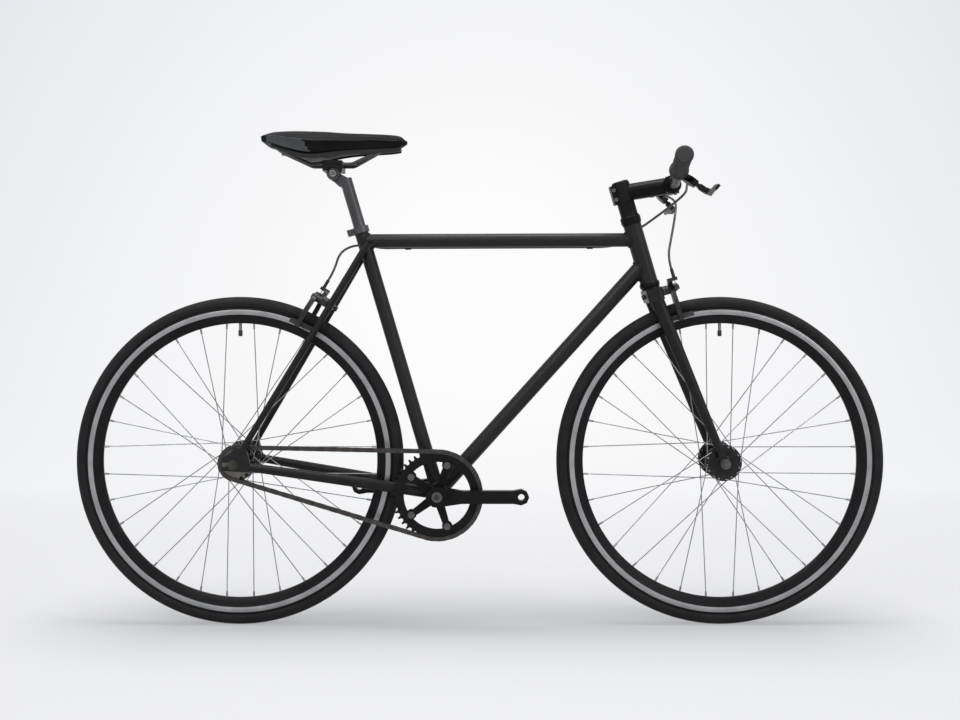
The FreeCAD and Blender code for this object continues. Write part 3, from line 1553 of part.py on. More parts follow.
def make_stem():
    """Stem body, faceplate and all the stem's bolts."""
    clamp = rod("stem_clamp", S.stem_clamp_diameter, S.stem_height, fork_place(0, 0, stem_start))
    arm = rod("stem_arm", S.stem_arm_diameter, S.stem_length, stem_place(0, 0, 0, Y_AXIS, X_AXIS))
    half = S.bar_clamp_width / 2
    front = rod(
        "stem_front",
        S.stem_clamp_diameter,
        S.bar_clamp_width,
        stem_place(S.stem_length, -half, 0, X_AXIS, Y_AXIS),
    )
    ear_reach = S.stem_clamp_diameter / 2 + S.stem_bolt_head * 0.6
    ear = block(
        "stem_ear",
        ear_reach,
        S.stem_clamp_diameter * 0.62,
        S.stem_height,
        fork_place(-ear_reach / 2, 0, stem_start),
    )
    body = joined("stem_body", [clamp, arm, front, ear])
    steerer_hole = rod(
        "stem_steerer_hole",
        S.steerer_diameter + 2 * S.running_clearance,
        2 * S.stem_height,
        fork_place(0, 0, stem_start - S.stem_height / 2),
    )
    bar_hole = rod(
        "stem_bar_hole",
        S.bar_clamp_diameter + 2 * S.running_clearance,
        2 * S.bar_clamp_width,
        stem_place(S.stem_length, -S.bar_clamp_width, 0, X_AXIS, Y_AXIS),
    )
    wide = 2 * S.stem_clamp_diameter
    front_half = block(
        "stem_front_half",
        wide,
        wide,
        wide,
        stem_place(S.stem_length + wide / 2 - S.faceplate_gap / 2, 0, -wide / 2),
    )
    slot = block(
        "stem_slot",
        S.stem_clamp_diameter,
        S.faceplate_gap,
        2 * S.stem_height,
        fork_place(-S.stem_clamp_diameter / 2 - S.steerer_diameter / 4, 0, stem_start - S.stem_height / 2),
    )
    ring = rod(
        "faceplate_ring",
        S.stem_clamp_diameter,
        S.bar_clamp_width,
        stem_place(S.stem_length, -half, 0, X_AXIS, Y_AXIS),
    )
    bolt_level = (S.stem_clamp_diameter + S.bar_clamp_diameter) / 4
    bolt_side = half * 0.68
    bolts = []
    holes = []
    plate_holes = []
    head_depth = S.stem_bolt_diameter
    for number, (side, level) in enumerate(((1, 1), (1, -1), (-1, 1), (-1, -1))):
        out = math.sqrt((S.stem_clamp_diameter / 2) ** 2 - bolt_level**2)
        deep = S.stem_length - out
        spot = (deep, side * bolt_side, level * bolt_level, Y_AXIS, X_AXIS)
        shank = rod("stem_front_shank_%d" % number, S.stem_bolt_diameter, 2 * out, stem_place(*spot))
        head_spot = (S.stem_length + out - head_depth * 0.6,) + spot[1:]
        head = rod("stem_front_head_%d" % number, S.stem_bolt_head, head_depth, stem_place(*head_spot))
        bolts.append(joined("stem_front_bolt_%d" % number, [shank, head]))
        for tools, word in ((holes, "stem"), (plate_holes, "plate")):
            wide_hole = S.stem_bolt_diameter + 2 * S.seat_gap
            tools.append(rod("%s_front_hole_%d" % (word, number), wide_hole, 3 * out, stem_place(*spot)))
        well = S.stem_bolt_head + 2 * S.seat_gap
        plate_holes.append(rod("plate_well_%d" % number, well, 2 * head_depth, stem_place(*head_spot)))
    pinch_back = -S.steerer_diameter / 2 - S.stem_bolt_head * 0.55
    pinch_half = S.stem_clamp_diameter * 0.31
    for number, share in enumerate((0.25, 0.75)):
        level = stem_start + S.stem_height * share
        spot = fork_place(pinch_back, -pinch_half, level, X_AXIS, Y_AXIS)
        head_spot = fork_place(pinch_back, -pinch_half - head_depth, level, X_AXIS, Y_AXIS)
        shank = rod("stem_pinch_shank_%d" % number, S.stem_bolt_diameter, 2 * pinch_half, spot)
        head = rod("stem_pinch_head_%d" % number, S.stem_bolt_head, head_depth, head_spot)
        bolts.append(joined("stem_pinch_bolt_%d" % number, [shank, head]))
        wide_hole = S.stem_bolt_diameter + 2 * S.seat_gap
        holes.append(rod("stem_pinch_hole_%d" % number, wide_hole, 3 * pinch_half, spot))
        well = S.stem_bolt_head + 2 * S.seat_gap
        holes.append(rod("stem_pinch_well_%d" % number, well, head_depth, head_spot))
    keep("stem", without("stem", body, [steerer_hole, bar_hole, front_half, slot] + holes))
    back_half = block(
        "faceplate_back_half",
        wide,
        wide,
        wide,
        stem_place(S.stem_length - wide / 2 + S.faceplate_gap / 2, 0, -wide / 2),
    )
    keep("stem_faceplate", without("stem_faceplate", ring, [bar_hole, back_half] + plate_holes))
    keep("stem_bolts", grouped("stem_bolts", bolts))


def bar_points(side):
    """Where the bar bends and where it ends on one side."""
    bend = bar_middle + Y_AXIS * (side * S.bar_straight / 2)
    end = bar_middle + Vector(-S.bar_backsweep, side * S.bar_width / 2, S.bar_rise)
    return bend, end


def make_handlebar():
    """A nearly flat bar, swept a little back and up, with a thicker middle for the stem."""
    left_bend, left_end = bar_points(1)
    right_bend, right_end = bar_points(-1)
    points = [left_end, left_bend, right_bend, right_end]
    outside = swept(points, S.bar_diameter, S.bar_bend_radius)[0]
    inside = swept(points, S.bar_diameter - 2 * S.bar_wall, S.bar_bend_radius)[0]
    half = S.bar_bulge_width / 2
    bulge = Part.makeCylinder(S.bar_clamp_diameter / 2, 2 * half, bar_middle - Y_AXIS * half, Y_AXIS)
    keep("handlebar", solid("handlebar", outside.fuse(bulge).cut(inside).removeSplitter()))


def make_grips():
    """A grip on each end of the bar: a sleeve with a collar inboard and a closed end."""
    bore = S.bar_diameter / 2 + S.seat_gap
    body = S.grip_diameter / 2
    collar = S.grip_collar_diameter / 2
    length = S.grip_length
    cap = S.grip_end_cap
    outline = [
        (bore, 0.0),
        (collar, 0.0),
        (collar, S.grip_collar_width),
        (body, S.grip_collar_width * 1.6),
        (body, length - 2 * S.grip_end_bevel),
        (body * 1.06, length - S.grip_end_bevel),
        (body * 1.06, length + cap - S.grip_end_bevel / 2),
        (body * 0.95, length + cap),
        (0.0, length + cap),
        (0.0, length + S.seat_gap),
        (bore, length + S.seat_gap),
    ]
    grips = []
    for side in (1, -1):
        bend, end = bar_points(side)
        along = (end - bend).normalize()
        place = lying_along(end - along * S.grip_length, along)
        grips.append(turned("grip_left" if side > 0 else "grip_right", [outline], place))
    keep("handlebar_grips", grouped("handlebar_grips", grips))


# Brake levers
def lever_frame(side):
    """A lever's own frame: X reaches forward from the bar, Y runs outboard along it."""
    bend, end = bar_points(side)
    outboard = (end - bend).normalize()
    tilt = math.radians(S.lever_tilt)
    reach = Vector(math.cos(tilt), 0, -math.sin(tilt))
    reach = (reach - outboard * reach.dot(outboard)).normalize()
    origin = bend + outboard * (S.lever_place - S.bar_straight / 2)
    return frame_at(origin, reach, reach.cross(outboard))


def ribbon(points, widths):
    """The outline of a flat bar that follows a centre line with a width at each point."""
    left = []
    right = []
    for index, (point, width) in enumerate(zip(points, widths)):
        before = Vector(*points[max(index - 1, 0)], 0)
        after = Vector(*points[min(index + 1, len(points) - 1)], 0)
        along = (after - before).normalize()
        normal = Vector(-along.y, along.x, 0) * (width / 2)
        spot = Vector(*point, 0)
        left.append((spot.x + normal.x, spot.y + normal.y))
        right.append((spot.x - normal.x, spot.y - normal.y))
    return right + left[::-1]


def make_levers():
    """A bracket on the bar with its pivot pin, and a pulling blade, on each side."""
    brackets = []
    pivot = (S.lever_pivot_reach, S.lever_pivot_out)
    boss = S.lever_boss_diameter
    for side in (1, -1):
        word = "left" if side > 0 else "right"
        place = lever_frame(side)
        width = S.lever_clamp_width
        ring = rod(
            "lever_ring_" + word,
            S.lever_clamp_diameter,
            width,
            place.multiply(frame_at(Vector(0, -width / 2, 0), X_AXIS, Y_AXIS)),
        )
        tall = S.lever_root_height + 2 * S.lever_gap + 2 * S.lever_ear_thickness
        near = S.bar_diameter / 2 + 2
        outline = [
            (near, -width / 2),
            (pivot[0] - boss / 2, -width / 2),
            (pivot[0] + boss / 2, pivot[1] - boss / 2),
            (pivot[0] + boss / 2, pivot[1] + boss / 2),
            (pivot[0] - boss / 2, pivot[1] + boss / 2),
            (near, width / 2),
        ]
        arm = plate("lever_arm_" + word, outline, tall, place, boss / 8)
        barrel = rod(
            "lever_barrel_" + word,
            S.adjuster_diameter,
            S.adjuster_length + width / 2,
            place.multiply(frame_at(Vector(S.lever_barrel_reach, 0, 0), X_AXIS, -Y_AXIS)),
        )
        bore = rod(
            "lever_bore_" + word,
            S.bar_diameter + 2 * S.running_clearance,
            3 * width,
            place.multiply(frame_at(Vector(0, -width * 1.5, 0), X_AXIS, Y_AXIS)),
        )
        slot_middle = Vector(
            pivot[0] + 1.5 * boss - OVERSHOOT,
            pivot[1] + 1.5 * boss - OVERSHOOT,
            -S.lever_root_height / 2 - S.lever_gap,
        )
        slot = block(
            "lever_slot_" + word,
            4 * boss,
            4 * boss,
            S.lever_root_height + 2 * S.lever_gap,
            place.multiply(Placement(slot_middle, Rotation())),
        )
        pin_bore = rod(
            "lever_pin_bore_" + word,
            S.lever_pivot_pin + 2 * S.running_clearance,
            2 * tall,
            place.multiply(Placement(Vector(pivot[0], pivot[1], -tall), Rotation())),
        )
        bracket_body = joined("lever_bracket_body_" + word, [ring, arm, barrel])
        brackets.append(without("lever_bracket_" + word, bracket_body, [bore, slot, pin_bore]))
        pin_place = place.multiply(Placement(Vector(pivot[0], pivot[1], -tall / 2), Rotation()))
        brackets.append(rod("lever_pin_" + word, S.lever_pivot_pin, tall, pin_place))

        reach = S.lever_blade_reach
        knee = (reach - S.lever_knee_inset, pivot[1] + S.lever_knee_out)
        turn = (reach, pivot[1] + S.lever_turn_out)
        tip_start = (reach, S.lever_blade_length * 0.85)
        tip = (reach + S.lever_tip_flare, S.lever_blade_length + pivot[1])
        thick = S.lever_blade_thickness
        neck = (pivot[0] + boss, pivot[1] + boss / 4)
        root_line = ribbon([pivot, neck, knee], [boss * 0.9, thick * 1.3, thick])
        blade_line = ribbon(
            [neck, knee, turn, tip_start, tip],
            [thick * 1.1, thick, thick, thick * 0.9, thick * 0.7],
        )
        root = plate("lever_root_" + word, root_line, S.lever_root_height, place)
        blade = plate("lever_blade_" + word, blade_line, S.lever_blade_height, place, thick / 5)
        eye = rod(
            "lever_eye_" + word,
            boss * 0.9,
            S.lever_root_height,
            place.multiply(Placement(Vector(pivot[0], pivot[1], -S.lever_root_height / 2), Rotation())),
        )
        eye_bore = rod(
            "lever_eye_bore_" + word,
            S.lever_pivot_pin + 2 * S.running_clearance,
            2 * tall,
            place.multiply(Placement(Vector(pivot[0], pivot[1], -tall), Rotation())),
        )
        lever_body = joined("brake_lever_body_" + word, [root, blade, eye])
        keep("brake_lever_" + word, without("brake_lever_" + word, lever_body, [eye_bore]))
    keep("brake_lever_brackets", grouped("brake_lever_brackets", brackets))


make_fork()
make_headset_stack()
make_stem()
make_handlebar()
make_grips()
make_levers()


# Rim brakes
track_radius = S.rim_radius - S.brake_track_height / 2
layer_inner = S.caliper_standoff + S.caliper_bracket_thickness + S.caliper_layer_gap
layer_outer = layer_inner + S.caliper_arm_thickness + S.caliper_layer_gap
layer_end = layer_outer + S.caliper_arm_thickness
cable_depth = layer_outer + S.caliper_arm_thickness / 2
pad_depth = layer_outer - S.caliper_layer_gap / 2
pivot_side = S.caliper_pivot_spread / 2
anchor_side = pivot_side + S.caliper_boss_diameter * 0.87
adjuster_level = S.caliper_boss_diameter * 1.6
adjuster_top = adjuster_level + S.adjuster_length
FRONT_BRAKE = fork_place(S.crown_depth / 2, 0, crown_middle)
REAR_BRAKE = BRIDGE.multiply(Placement(Vector(S.bridge_diameter / 2, 0, 0), Rotation()))


def brake_place(brake, depth, side=0.0, level=0.0):
    """A placement on a brake whose XY plane faces forward from the mount: X to the side and Y up."""
    return brake.multiply(frame_at(Vector(depth, side, level), Y_AXIS, X_AXIS))


def curved_bar(points, widths, thickness):
    """A flat bar with smoothly curved sides along a centre line, standing on the XY plane."""
    outline = ribbon(points, widths)
    count = len(points)
    right = [Vector(*corner, 0) for corner in outline[:count]]
    left = [Vector(*corner, 0) for corner in outline[count:]]
    edges = []
    for side in (right, left):
        curve = Part.BSplineCurve()
        curve.interpolate(side)
        edges.append(curve.toShape())
    edges.insert(1, Part.LineSegment(right[-1], left[0]).toShape())
    edges.append(Part.LineSegment(left[-1], right[0]).toShape())
    return Part.Face(Part.Wire(edges)).extrude(Z_AXIS * float(thickness))


def pad_middle(brake, axle):
    """The middle of a brake pad seen from the side, on the rim's brake track, and its lean."""
    hub = brake.inverse().multVec(axle)
    ahead = float(pad_depth) - hub.x
    return hub.z + math.sqrt(track_radius**2 - ahead**2), math.degrees(math.asin(ahead / track_radius))


def make_brake_bracket(prefix, brake, mount_depth):
    """The bracket with two pivots, its washer, and the bolt that holds it to the fork or the frame."""
    half = pivot_side + S.caliper_boss_diameter / 2
    low = S.caliper_boss_diameter / 2
    outline = [(-half, -low), (half, -low), (half, low), (low, low * 1.5), (-low, low * 1.5), (-half, low)]
    middle = S.caliper_standoff + S.caliper_bracket_thickness / 2
    base = plate(
        prefix + "_brake_base",
        outline,
        S.caliper_bracket_thickness,
        brake_place(brake, middle),
        low / 2,
    )
    pin = S.caliper_pivot_diameter
    short = layer_outer - S.caliper_layer_gap / 2 - middle
    long = layer_end + S.caliper_layer_gap - middle
    pins = [
        rod(prefix + "_brake_short_pin", pin, short, brake_place(brake, middle, -pivot_side)),
        rod(prefix + "_brake_long_pin", pin, long, brake_place(brake, middle, pivot_side)),
        rod(
            prefix + "_brake_pin_head",
            S.caliper_boss_diameter * 0.8,
            pin / 2,
            brake_place(brake, layer_end + S.caliper_layer_gap / 2, pivot_side),
        ),
    ]
    bolt = S.caliper_bolt_diameter
    hole_width = bolt + 2 * S.seat_gap
    hole = rod(prefix + "_brake_hole", hole_width, 2 * layer_inner, brake_place(brake, 0))
    bracket = without(prefix + "_brake_body", joined(prefix + "_brake_plate", [base] + pins), [hole])
    washer = tube(
        prefix + "_brake_washer",
        S.caliper_boss_diameter,
        hole_width,
        S.caliper_standoff,
        brake_place(brake, 0),
    )
    head_start = S.caliper_standoff + S.caliper_bracket_thickness
    nut_start = -mount_depth - bolt
    screw = joined(
        prefix + "_brake_screw",
        [
            rod(prefix + "_brake_shank", bolt, head_start - nut_start, brake_place(brake, nut_start)),
            rod(prefix + "_brake_head", bolt * 1.6, bolt * 0.8, brake_place(brake, head_start)),
            rod(prefix + "_brake_nut", bolt * 1.7, bolt, brake_place(brake, nut_start)),
        ],
    )
    keep(prefix + "_brake_bracket", grouped(prefix + "_brake_bracket", [bracket, washer, screw]))


def make_brake_arm(prefix, word, brake, axle, side):
    """One brake arm with its pad; side is -1 for the inner layer's arm and 1 for the outer one's."""
    name = "%s_brake_arm_%s" % (prefix, word)
    level, lean = pad_middle(brake, axle)
    boss = S.caliper_boss_diameter
    wide = S.caliper_arm_width
    out = S.caliper_arm_outreach
    thick = S.caliper_arm_thickness
    pad_out = S.rim_width / 2 + S.pad_clearance + S.pad_thickness
    foot_side = pad_out + wide * 0.7
    start = layer_inner if side < 0 else layer_outer
    plane = brake_place(brake, start)
    leg_points = [
        (pivot_side * 0.8, 0.0),
        (pivot_side + boss * 0.7, level * 0.1),
        (out, level * 0.4),
        (out * 0.99, level * 0.75),
        (foot_side, level - wide * 0.6),
    ]
    leg_widths = [wide * 1.2, wide * 1.1, wide, wide * 0.95, wide]
    leg = curved_bar([(side * across, up) for across, up in leg_points], leg_widths, thick)
    if side < 0:
        upper_points = [
            (-pivot_side * 0.9, 0.0),
            (-pivot_side - boss * 0.3, adjuster_level * 0.45),
            (-anchor_side, adjuster_level - wide * 0.5),
        ]
        upper_widths = [wide * 1.2, wide, wide]
    else:
        upper_points = [
            (pivot_side * 0.9, boss * 0.1),
            (0.0, boss * 0.4),
            (-pivot_side, boss * 0.4),
            (-anchor_side - wide * 0.4, boss * 0.1),
        ]
        upper_widths = [wide * 1.3, wide, wide * 0.9, wide * 0.8]
    upper = curved_bar(upper_points, upper_widths, thick)
    arm = solid(name + "_bar", leg.fuse(upper).removeSplitter())
    arm.Placement = plane
    boss_start = layer_inner
    boss_length = layer_end - layer_inner if side > 0 else thick
    eye = rod(name + "_eye", boss, boss_length, brake_place(brake, boss_start, side * pivot_side))
    stud_end = foot_side + wide * 0.5 + OVERSHOOT
    stud_place = frame_at(Vector(start + thick / 2, side * stud_end, level), X_AXIS, Y_AXIS * -side)
    stud = rod(name + "_stud", S.caliper_bolt_diameter, stud_end - pad_out, brake.multiply(stud_place))
    parts = [arm, eye, stud]
    if side < 0:
        tab_depth = cable_depth + S.adjuster_diameter / 2 + OVERSHOOT - layer_inner
        tab = block(
            name + "_tab",
            tab_depth,
            S.adjuster_diameter + 2 * OVERSHOOT,
            S.adjuster_diameter,
            brake.multiply(
                Placement(
                    Vector(layer_inner + tab_depth / 2, -anchor_side, adjuster_level - S.adjuster_diameter),
                    Rotation(),
                )
            ),
        )
        barrel_foot = Vector(cable_depth, -anchor_side, adjuster_level)
        barrel_place = brake.multiply(Placement(barrel_foot, Rotation()))
        barrel = rod(name + "_barrel", S.adjuster_diameter, S.adjuster_length, barrel_place)
        parts += [tab, barrel]
    pin_width = S.caliper_pivot_diameter + 2 * S.running_clearance
    pin_hole = rod(name + "_pin_hole", pin_width, 3 * layer_end, brake_place(brake, 0, side * pivot_side))
    metal = without(name + "_metal", joined(name + "_body", parts), [pin_hole])
    pad_place = brake.multiply(
        Placement(
            Vector(pad_depth, side * (pad_out - S.pad_thickness / 2), level),
            Rotation(Y_AXIS, lean),
        )
    )
    pad_base = pad_place.multiply(Placement(Vector(0, 0, -S.pad_height / 2), Rotation()))
    pad = block(name + "_pad", S.pad_length, S.pad_thickness, S.pad_height, pad_base)
    keep(name, grouped(name, [metal, pad]))


def make_brakes():
    """A dual pivot rim brake on the fork crown and another on the brake bridge."""
    for prefix, brake, axle, mount_depth, words in (
        ("front", FRONT_BRAKE, front_axle, S.crown_depth, ("right", "left")),
        ("rear", REAR_BRAKE, rear_axle, S.bridge_diameter, ("left", "right")),
    ):
        make_brake_bracket(prefix, brake, mount_depth)
        make_brake_arm(prefix, words[0], brake, axle, -1)
        make_brake_arm(prefix, words[1], brake, axle, 1)


# Brake cables
def lever_exit(side, beyond=0.0):
    """Where a cable leaves the barrel of a brake lever, or a point further along that barrel's axis."""
    out = -S.lever_clamp_width / 2 - S.adjuster_length - S.seat_gap - beyond
    return lever_frame(side).multVec(Vector(S.lever_barrel_reach, out, 0))


def brake_entry(brake, beyond=0.0):
    """Where a cable meets the top of a brake's barrel adjuster, or a point further up that axis."""
    return brake.multVec(Vector(cable_depth, -anchor_side, adjuster_top + S.seat_gap + beyond))


def inner_wire(brake):
    """The bare wire between a brake's adjuster and the arm that it pulls."""
    low = S.caliper_boss_diameter * 0.15 + S.caliper_arm_width * 0.55
    high = adjuster_level - S.adjuster_diameter - S.seat_gap
    start = brake.multVec(Vector(cable_depth, -anchor_side, low))
    end = brake.multVec(Vector(cable_depth, -anchor_side, high))
    return Part.makeCylinder(S.inner_wire_diameter / 2, (end - start).Length, start, end - start)


def make_cables():
    """The front cable, the loop from the bar to the frame, and the rear cable along the frame."""
    along = (top_tube_front - top_tube_rear).normalize()
    front_guide = guide_point(S.guide_forward)
    rear_guide = guide_point(-S.guide_rear)
    join = front_guide + along * (S.guide_length / 2)
    lead = 5 * S.cable_diameter
    routes = {
        "front_brake_cable": [
            lever_exit(1),
            lever_exit(1, lead),
            Vector(419, 66, 882),
            Vector(413, 36, 860),
            Vector(404, 10, 830),
            Vector(394, -13, 797),
            brake_entry(FRONT_BRAKE, lead),
            brake_entry(FRONT_BRAKE),
        ],
        "rear_brake_cable_loop": [
            lever_exit(-1),
            lever_exit(-1, lead),
            Vector(416, -62, 888),
            Vector(401, -28, 872),
            Vector(377, 3, 852),
            Vector(345, 23, 828),
            Vector(306, 24, 803),
            join + along * (2 * lead),
            join,
        ],
        "rear_brake_cable": [
            join,
            rear_guide - along * lead,
            Vector(-206, 23, 780),
            Vector(-238, 32, 787),
            Vector(-270, 32, 786),
            Vector(-296, 30, 770),
            brake_entry(REAR_BRAKE, lead),
            brake_entry(REAR_BRAKE),
        ],
    }
    wires = {
        "front_brake_cable": [inner_wire(FRONT_BRAKE)],
        "rear_brake_cable": [inner_wire(REAR_BRAKE)],
    }
    for node, points in routes.items():
        shape, length, radii = swept(points, S.cable_diameter)
        print(node, "length %.0f, bend radii" % length, ["%.0f" % bend for bend in radii])
        keep(node, solid(node, Part.makeCompound([shape] + wires.get(node, []))))


# Seatpost and saddle
seatpost_top = seat_top + seat_up * S.seatpost_exposed
saddle_pivot = seatpost_top + Vector(-S.seatpost_setback, 0, S.seatpost_head_diameter * 0.35)


def saddle_place(forward, side, up, x_axis=X_AXIS, z_axis=Z_AXIS):
    """A placement given from the middle of the seatpost head."""
    return frame_at(saddle_pivot + Vector(forward, side, up), x_axis, z_axis)


def make_seatpost():
    """A hollow post with a round head across its top, set back on a short neck."""
    length = S.seatpost_insert + S.seatpost_exposed
    foot = seat_top - seat_up * S.seatpost_insert
    post = rod("seatpost_post", S.seatpost_diameter, length, lying_along(foot, seat_up))
    bore_diameter = S.seatpost_diameter - 2 * S.seatpost_wall
    bore_foot = foot - seat_up * OVERSHOOT
    bore = rod("seatpost_bore", bore_diameter, length - S.seatpost_diameter, lying_along(bore_foot, seat_up))
    half = S.seatpost_head_width / 2
    head = rod(
        "seatpost_head",
        S.seatpost_head_diameter,
        S.seatpost_head_width,
        saddle_place(0, -half, 0, X_AXIS, Y_AXIS),
    )
    back = S.seatpost_setback
    radius = S.seatpost_diameter / 2
    drop = S.seatpost_head_diameter
    neck = [
        (-radius * 0.7, radius * 0.5),
        (-radius, -radius * 0.3),
        (back - radius * 0.9, -drop),
        (back + radius * 0.9, -drop),
        (back + radius * 0.7, -drop * 0.35),
        (radius * 0.7, radius * 0.3),
    ]
    neck_place = saddle_place(0, 0, 0, X_AXIS, -Y_AXIS)
    shoulder = plate("seatpost_neck", neck, S.seatpost_diameter * 0.8, neck_place)
    keep("seatpost", without("seatpost", joined("seatpost_body", [post, head, shoulder]), [bore]))


# Along the saddle from its nose: share of the length, share of the way from nose to full width,
# share of that width, and how far the top and the base dip.
SADDLE_STATIONS = [
    (0.00, 0.00, 0.50, 18.0, -8.0),
    (0.03, 0.00, 0.80, 10.5, -3.0),
    (0.10, 0.00, 0.95, 7.0, 0.0),
    (0.28, 0.02, 1.00, 4.5, 3.0),
    (0.45, 0.24, 1.00, 2.5, 7.0),
    (0.56, 0.46, 1.00, 0.5, 12.0),
    (0.66, 0.70, 1.00, 0.0, 16.0),
    (0.80, 0.95, 1.00, 0.0, 10.0),
    (0.93, 1.00, 1.00, 4.5, -4.0),
    (1.00, 0.90, 0.86, 12.0, -14.0),
]


def saddle_sections():
    """Each station's place from the post's head, half width, top and base."""
    nose = S.saddle_nose_width / 2
    spread = S.saddle_width / 2 - nose
    sections = []
    for along, share, narrow, top_dip, base_dip in SADDLE_STATIONS:
        forward = float(S.saddle_nose_forward - S.saddle_length * along)
        half = float((nose + spread * share) * narrow)
        top = float(S.saddle_height) - top_dip
        base = float(S.saddle_height - S.saddle_thickness) - base_dip
        sections.append((forward, half, top, base))
    return sections


def saddle_base(forward):
    """The height of the cover's underside at a place along the saddle."""
    sections = saddle_sections()
    for (ahead, _, _, base_ahead), (behind, _, _, base_behind) in zip(sections, sections[1:]):
        if behind <= forward <= ahead:
            share = (ahead - forward) / (ahead - behind)
            return base_ahead + (base_behind - base_ahead) * share
    raise ValueError("a rail ends beyond the saddle")


def rail_bars(diameter):
    """The two saddle rails: a straight middle for the clamp, with both ends bent up into the shell."""
    side = S.rail_spacing / 2
    front = S.saddle_nose_forward * 0.64
    rear = (S.saddle_nose_forward - S.saddle_length) * 0.8
    sunk = S.saddle_shell_thickness * 0.75
    bars = []
    for hand in (1, -1):
        points = [
            Vector(front, hand * S.saddle_nose_width * 0.2, saddle_base(front) - sunk),
            Vector(front * 0.42, hand * side, S.rail_height),
            Vector(rear * 0.42, hand * side, S.rail_height),
            Vector(rear, hand * side * 1.5, saddle_base(rear) - sunk),
        ]
        placed = [saddle_pivot + point for point in points]
        bars.append(swept(placed, diameter, 3 * S.rail_diameter)[0])
    return Part.makeCompound(bars)


def make_saddle_clamp():
    """The cradle on the post's head, the plate over the rails and the bolt through both."""
    level = S.rail_height
    head_tool = rod(
        "cradle_head_tool",
        S.seatpost_head_diameter + 6 * S.seat_gap,
        2 * S.cradle_width,
        saddle_place(0, -S.cradle_width, 0, X_AXIS, Y_AXIS),
    )
    grooves = solid("cradle_grooves", rail_bars(S.rail_diameter + 2 * S.running_clearance))
    bolt_tool = rod(
        "cradle_bolt_tool",
        S.seat_clamp_bolt + 2 * S.seat_gap,
        4 * level,
        saddle_place(0, 0, 0),
    )
    low = S.seatpost_head_diameter * 0.2
    gap = S.clamp_plate_gap / 2
    base = block("cradle_base", S.cradle_length, S.cradle_width, level - gap - low, saddle_place(0, 0, low))
    lid = block(
        "cradle_lid",
        S.cradle_length,
        S.cradle_width,
        S.clamp_plate_thickness,
        saddle_place(0, 0, level + gap),
    )
    cradle = without("saddle_cradle", base, [head_tool, grooves, bolt_tool])
    plate_top = without("saddle_clamp_plate", lid, [grooves, bolt_tool])
    foot = S.seatpost_head_diameter / 2 + 4 * S.seat_gap
    top = level + gap + S.clamp_plate_thickness
    shank = rod("saddle_bolt_shank", S.seat_clamp_bolt, top - foot, saddle_place(0, 0, foot))
    head = rod("saddle_bolt_head", S.seat_clamp_bolt * 1.8, S.seat_clamp_bolt, saddle_place(0, 0, top))
    bolt = joined("saddle_clamp_bolt", [shank, head])
    keep("saddle_clamp", grouped("saddle_clamp", [cradle, plate_top, bolt]))


def make_saddle():
    """The padded cover with a crown and drawn-in sides, the lipped shell under it and the rails."""
    rings = []
    trays = []
    for forward, half, top, base in saddle_sections():
        shoulder = top - min(0.5 * (top - base), 0.75 * half)
        drawn = half * 0.86

        def corner(side, up):
            return saddle_pivot + Vector(forward, side, up)

        rings.append(
            Part.Wire(
                [
                    Part.LineSegment(corner(-drawn, base), corner(drawn, base)).toShape(),
                    Part.LineSegment(corner(drawn, base), corner(half, shoulder)).toShape(),
                    Part.Arc(corner(half, shoulder), corner(0, top), corner(-half, shoulder)).toShape(),
                    Part.LineSegment(corner(-half, shoulder), corner(-drawn, base)).toShape(),
                ]
            )
        )
        outer = half * 0.8
        inner = outer - float(S.saddle_shell_lip)
        tray_top = base + float(S.saddle_shell_thickness) / 2
        tray_base = base - float(S.saddle_shell_thickness)
        lip = tray_base - float(S.saddle_shell_lip)
        tray = [
            corner(-outer, lip),
            corner(-inner, lip),
            corner(-inner, tray_base),
            corner(inner, tray_base),
            corner(inner, lip),
            corner(outer, lip),
            corner(outer, tray_top),
            corner(-outer, tray_top),
        ]
        trays.append(Part.makePolygon(tray + tray[:1]))
    cover = keep("saddle_cover", solid("saddle_cover", Part.makeLoft(rings, True, False)))
    tray_body = solid("saddle_tray", Part.makeLoft(trays[1:-1], True, False))
    shell = keep("saddle_shell", without("saddle_shell", tray_body, [cover]))
    bars = solid("saddle_rail_bars", rail_bars(S.rail_diameter))
    keep("saddle_rails", without("saddle_rails", bars, [shell]))


make_brakes()
make_cables()
make_seatpost()
make_saddle_clamp()
make_saddle()

doc.recompute()
for item in doc.Objects:
    if "Invalid" in item.State or "Error" in item.State:
        raise RuntimeError("%s did not build" % item.Label)
for node, item in PIECES.items():
    if item.Shape.isNull() or not item.Shape.isValid() or not item.Shape.Solids:
        raise RuntimeError("%s has no valid solid" % node)

os.makedirs("parts", exist_ok=True)
for node, item in PIECES.items():
    item.Shape.exportStep("parts/%s.step" % node)
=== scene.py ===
import math

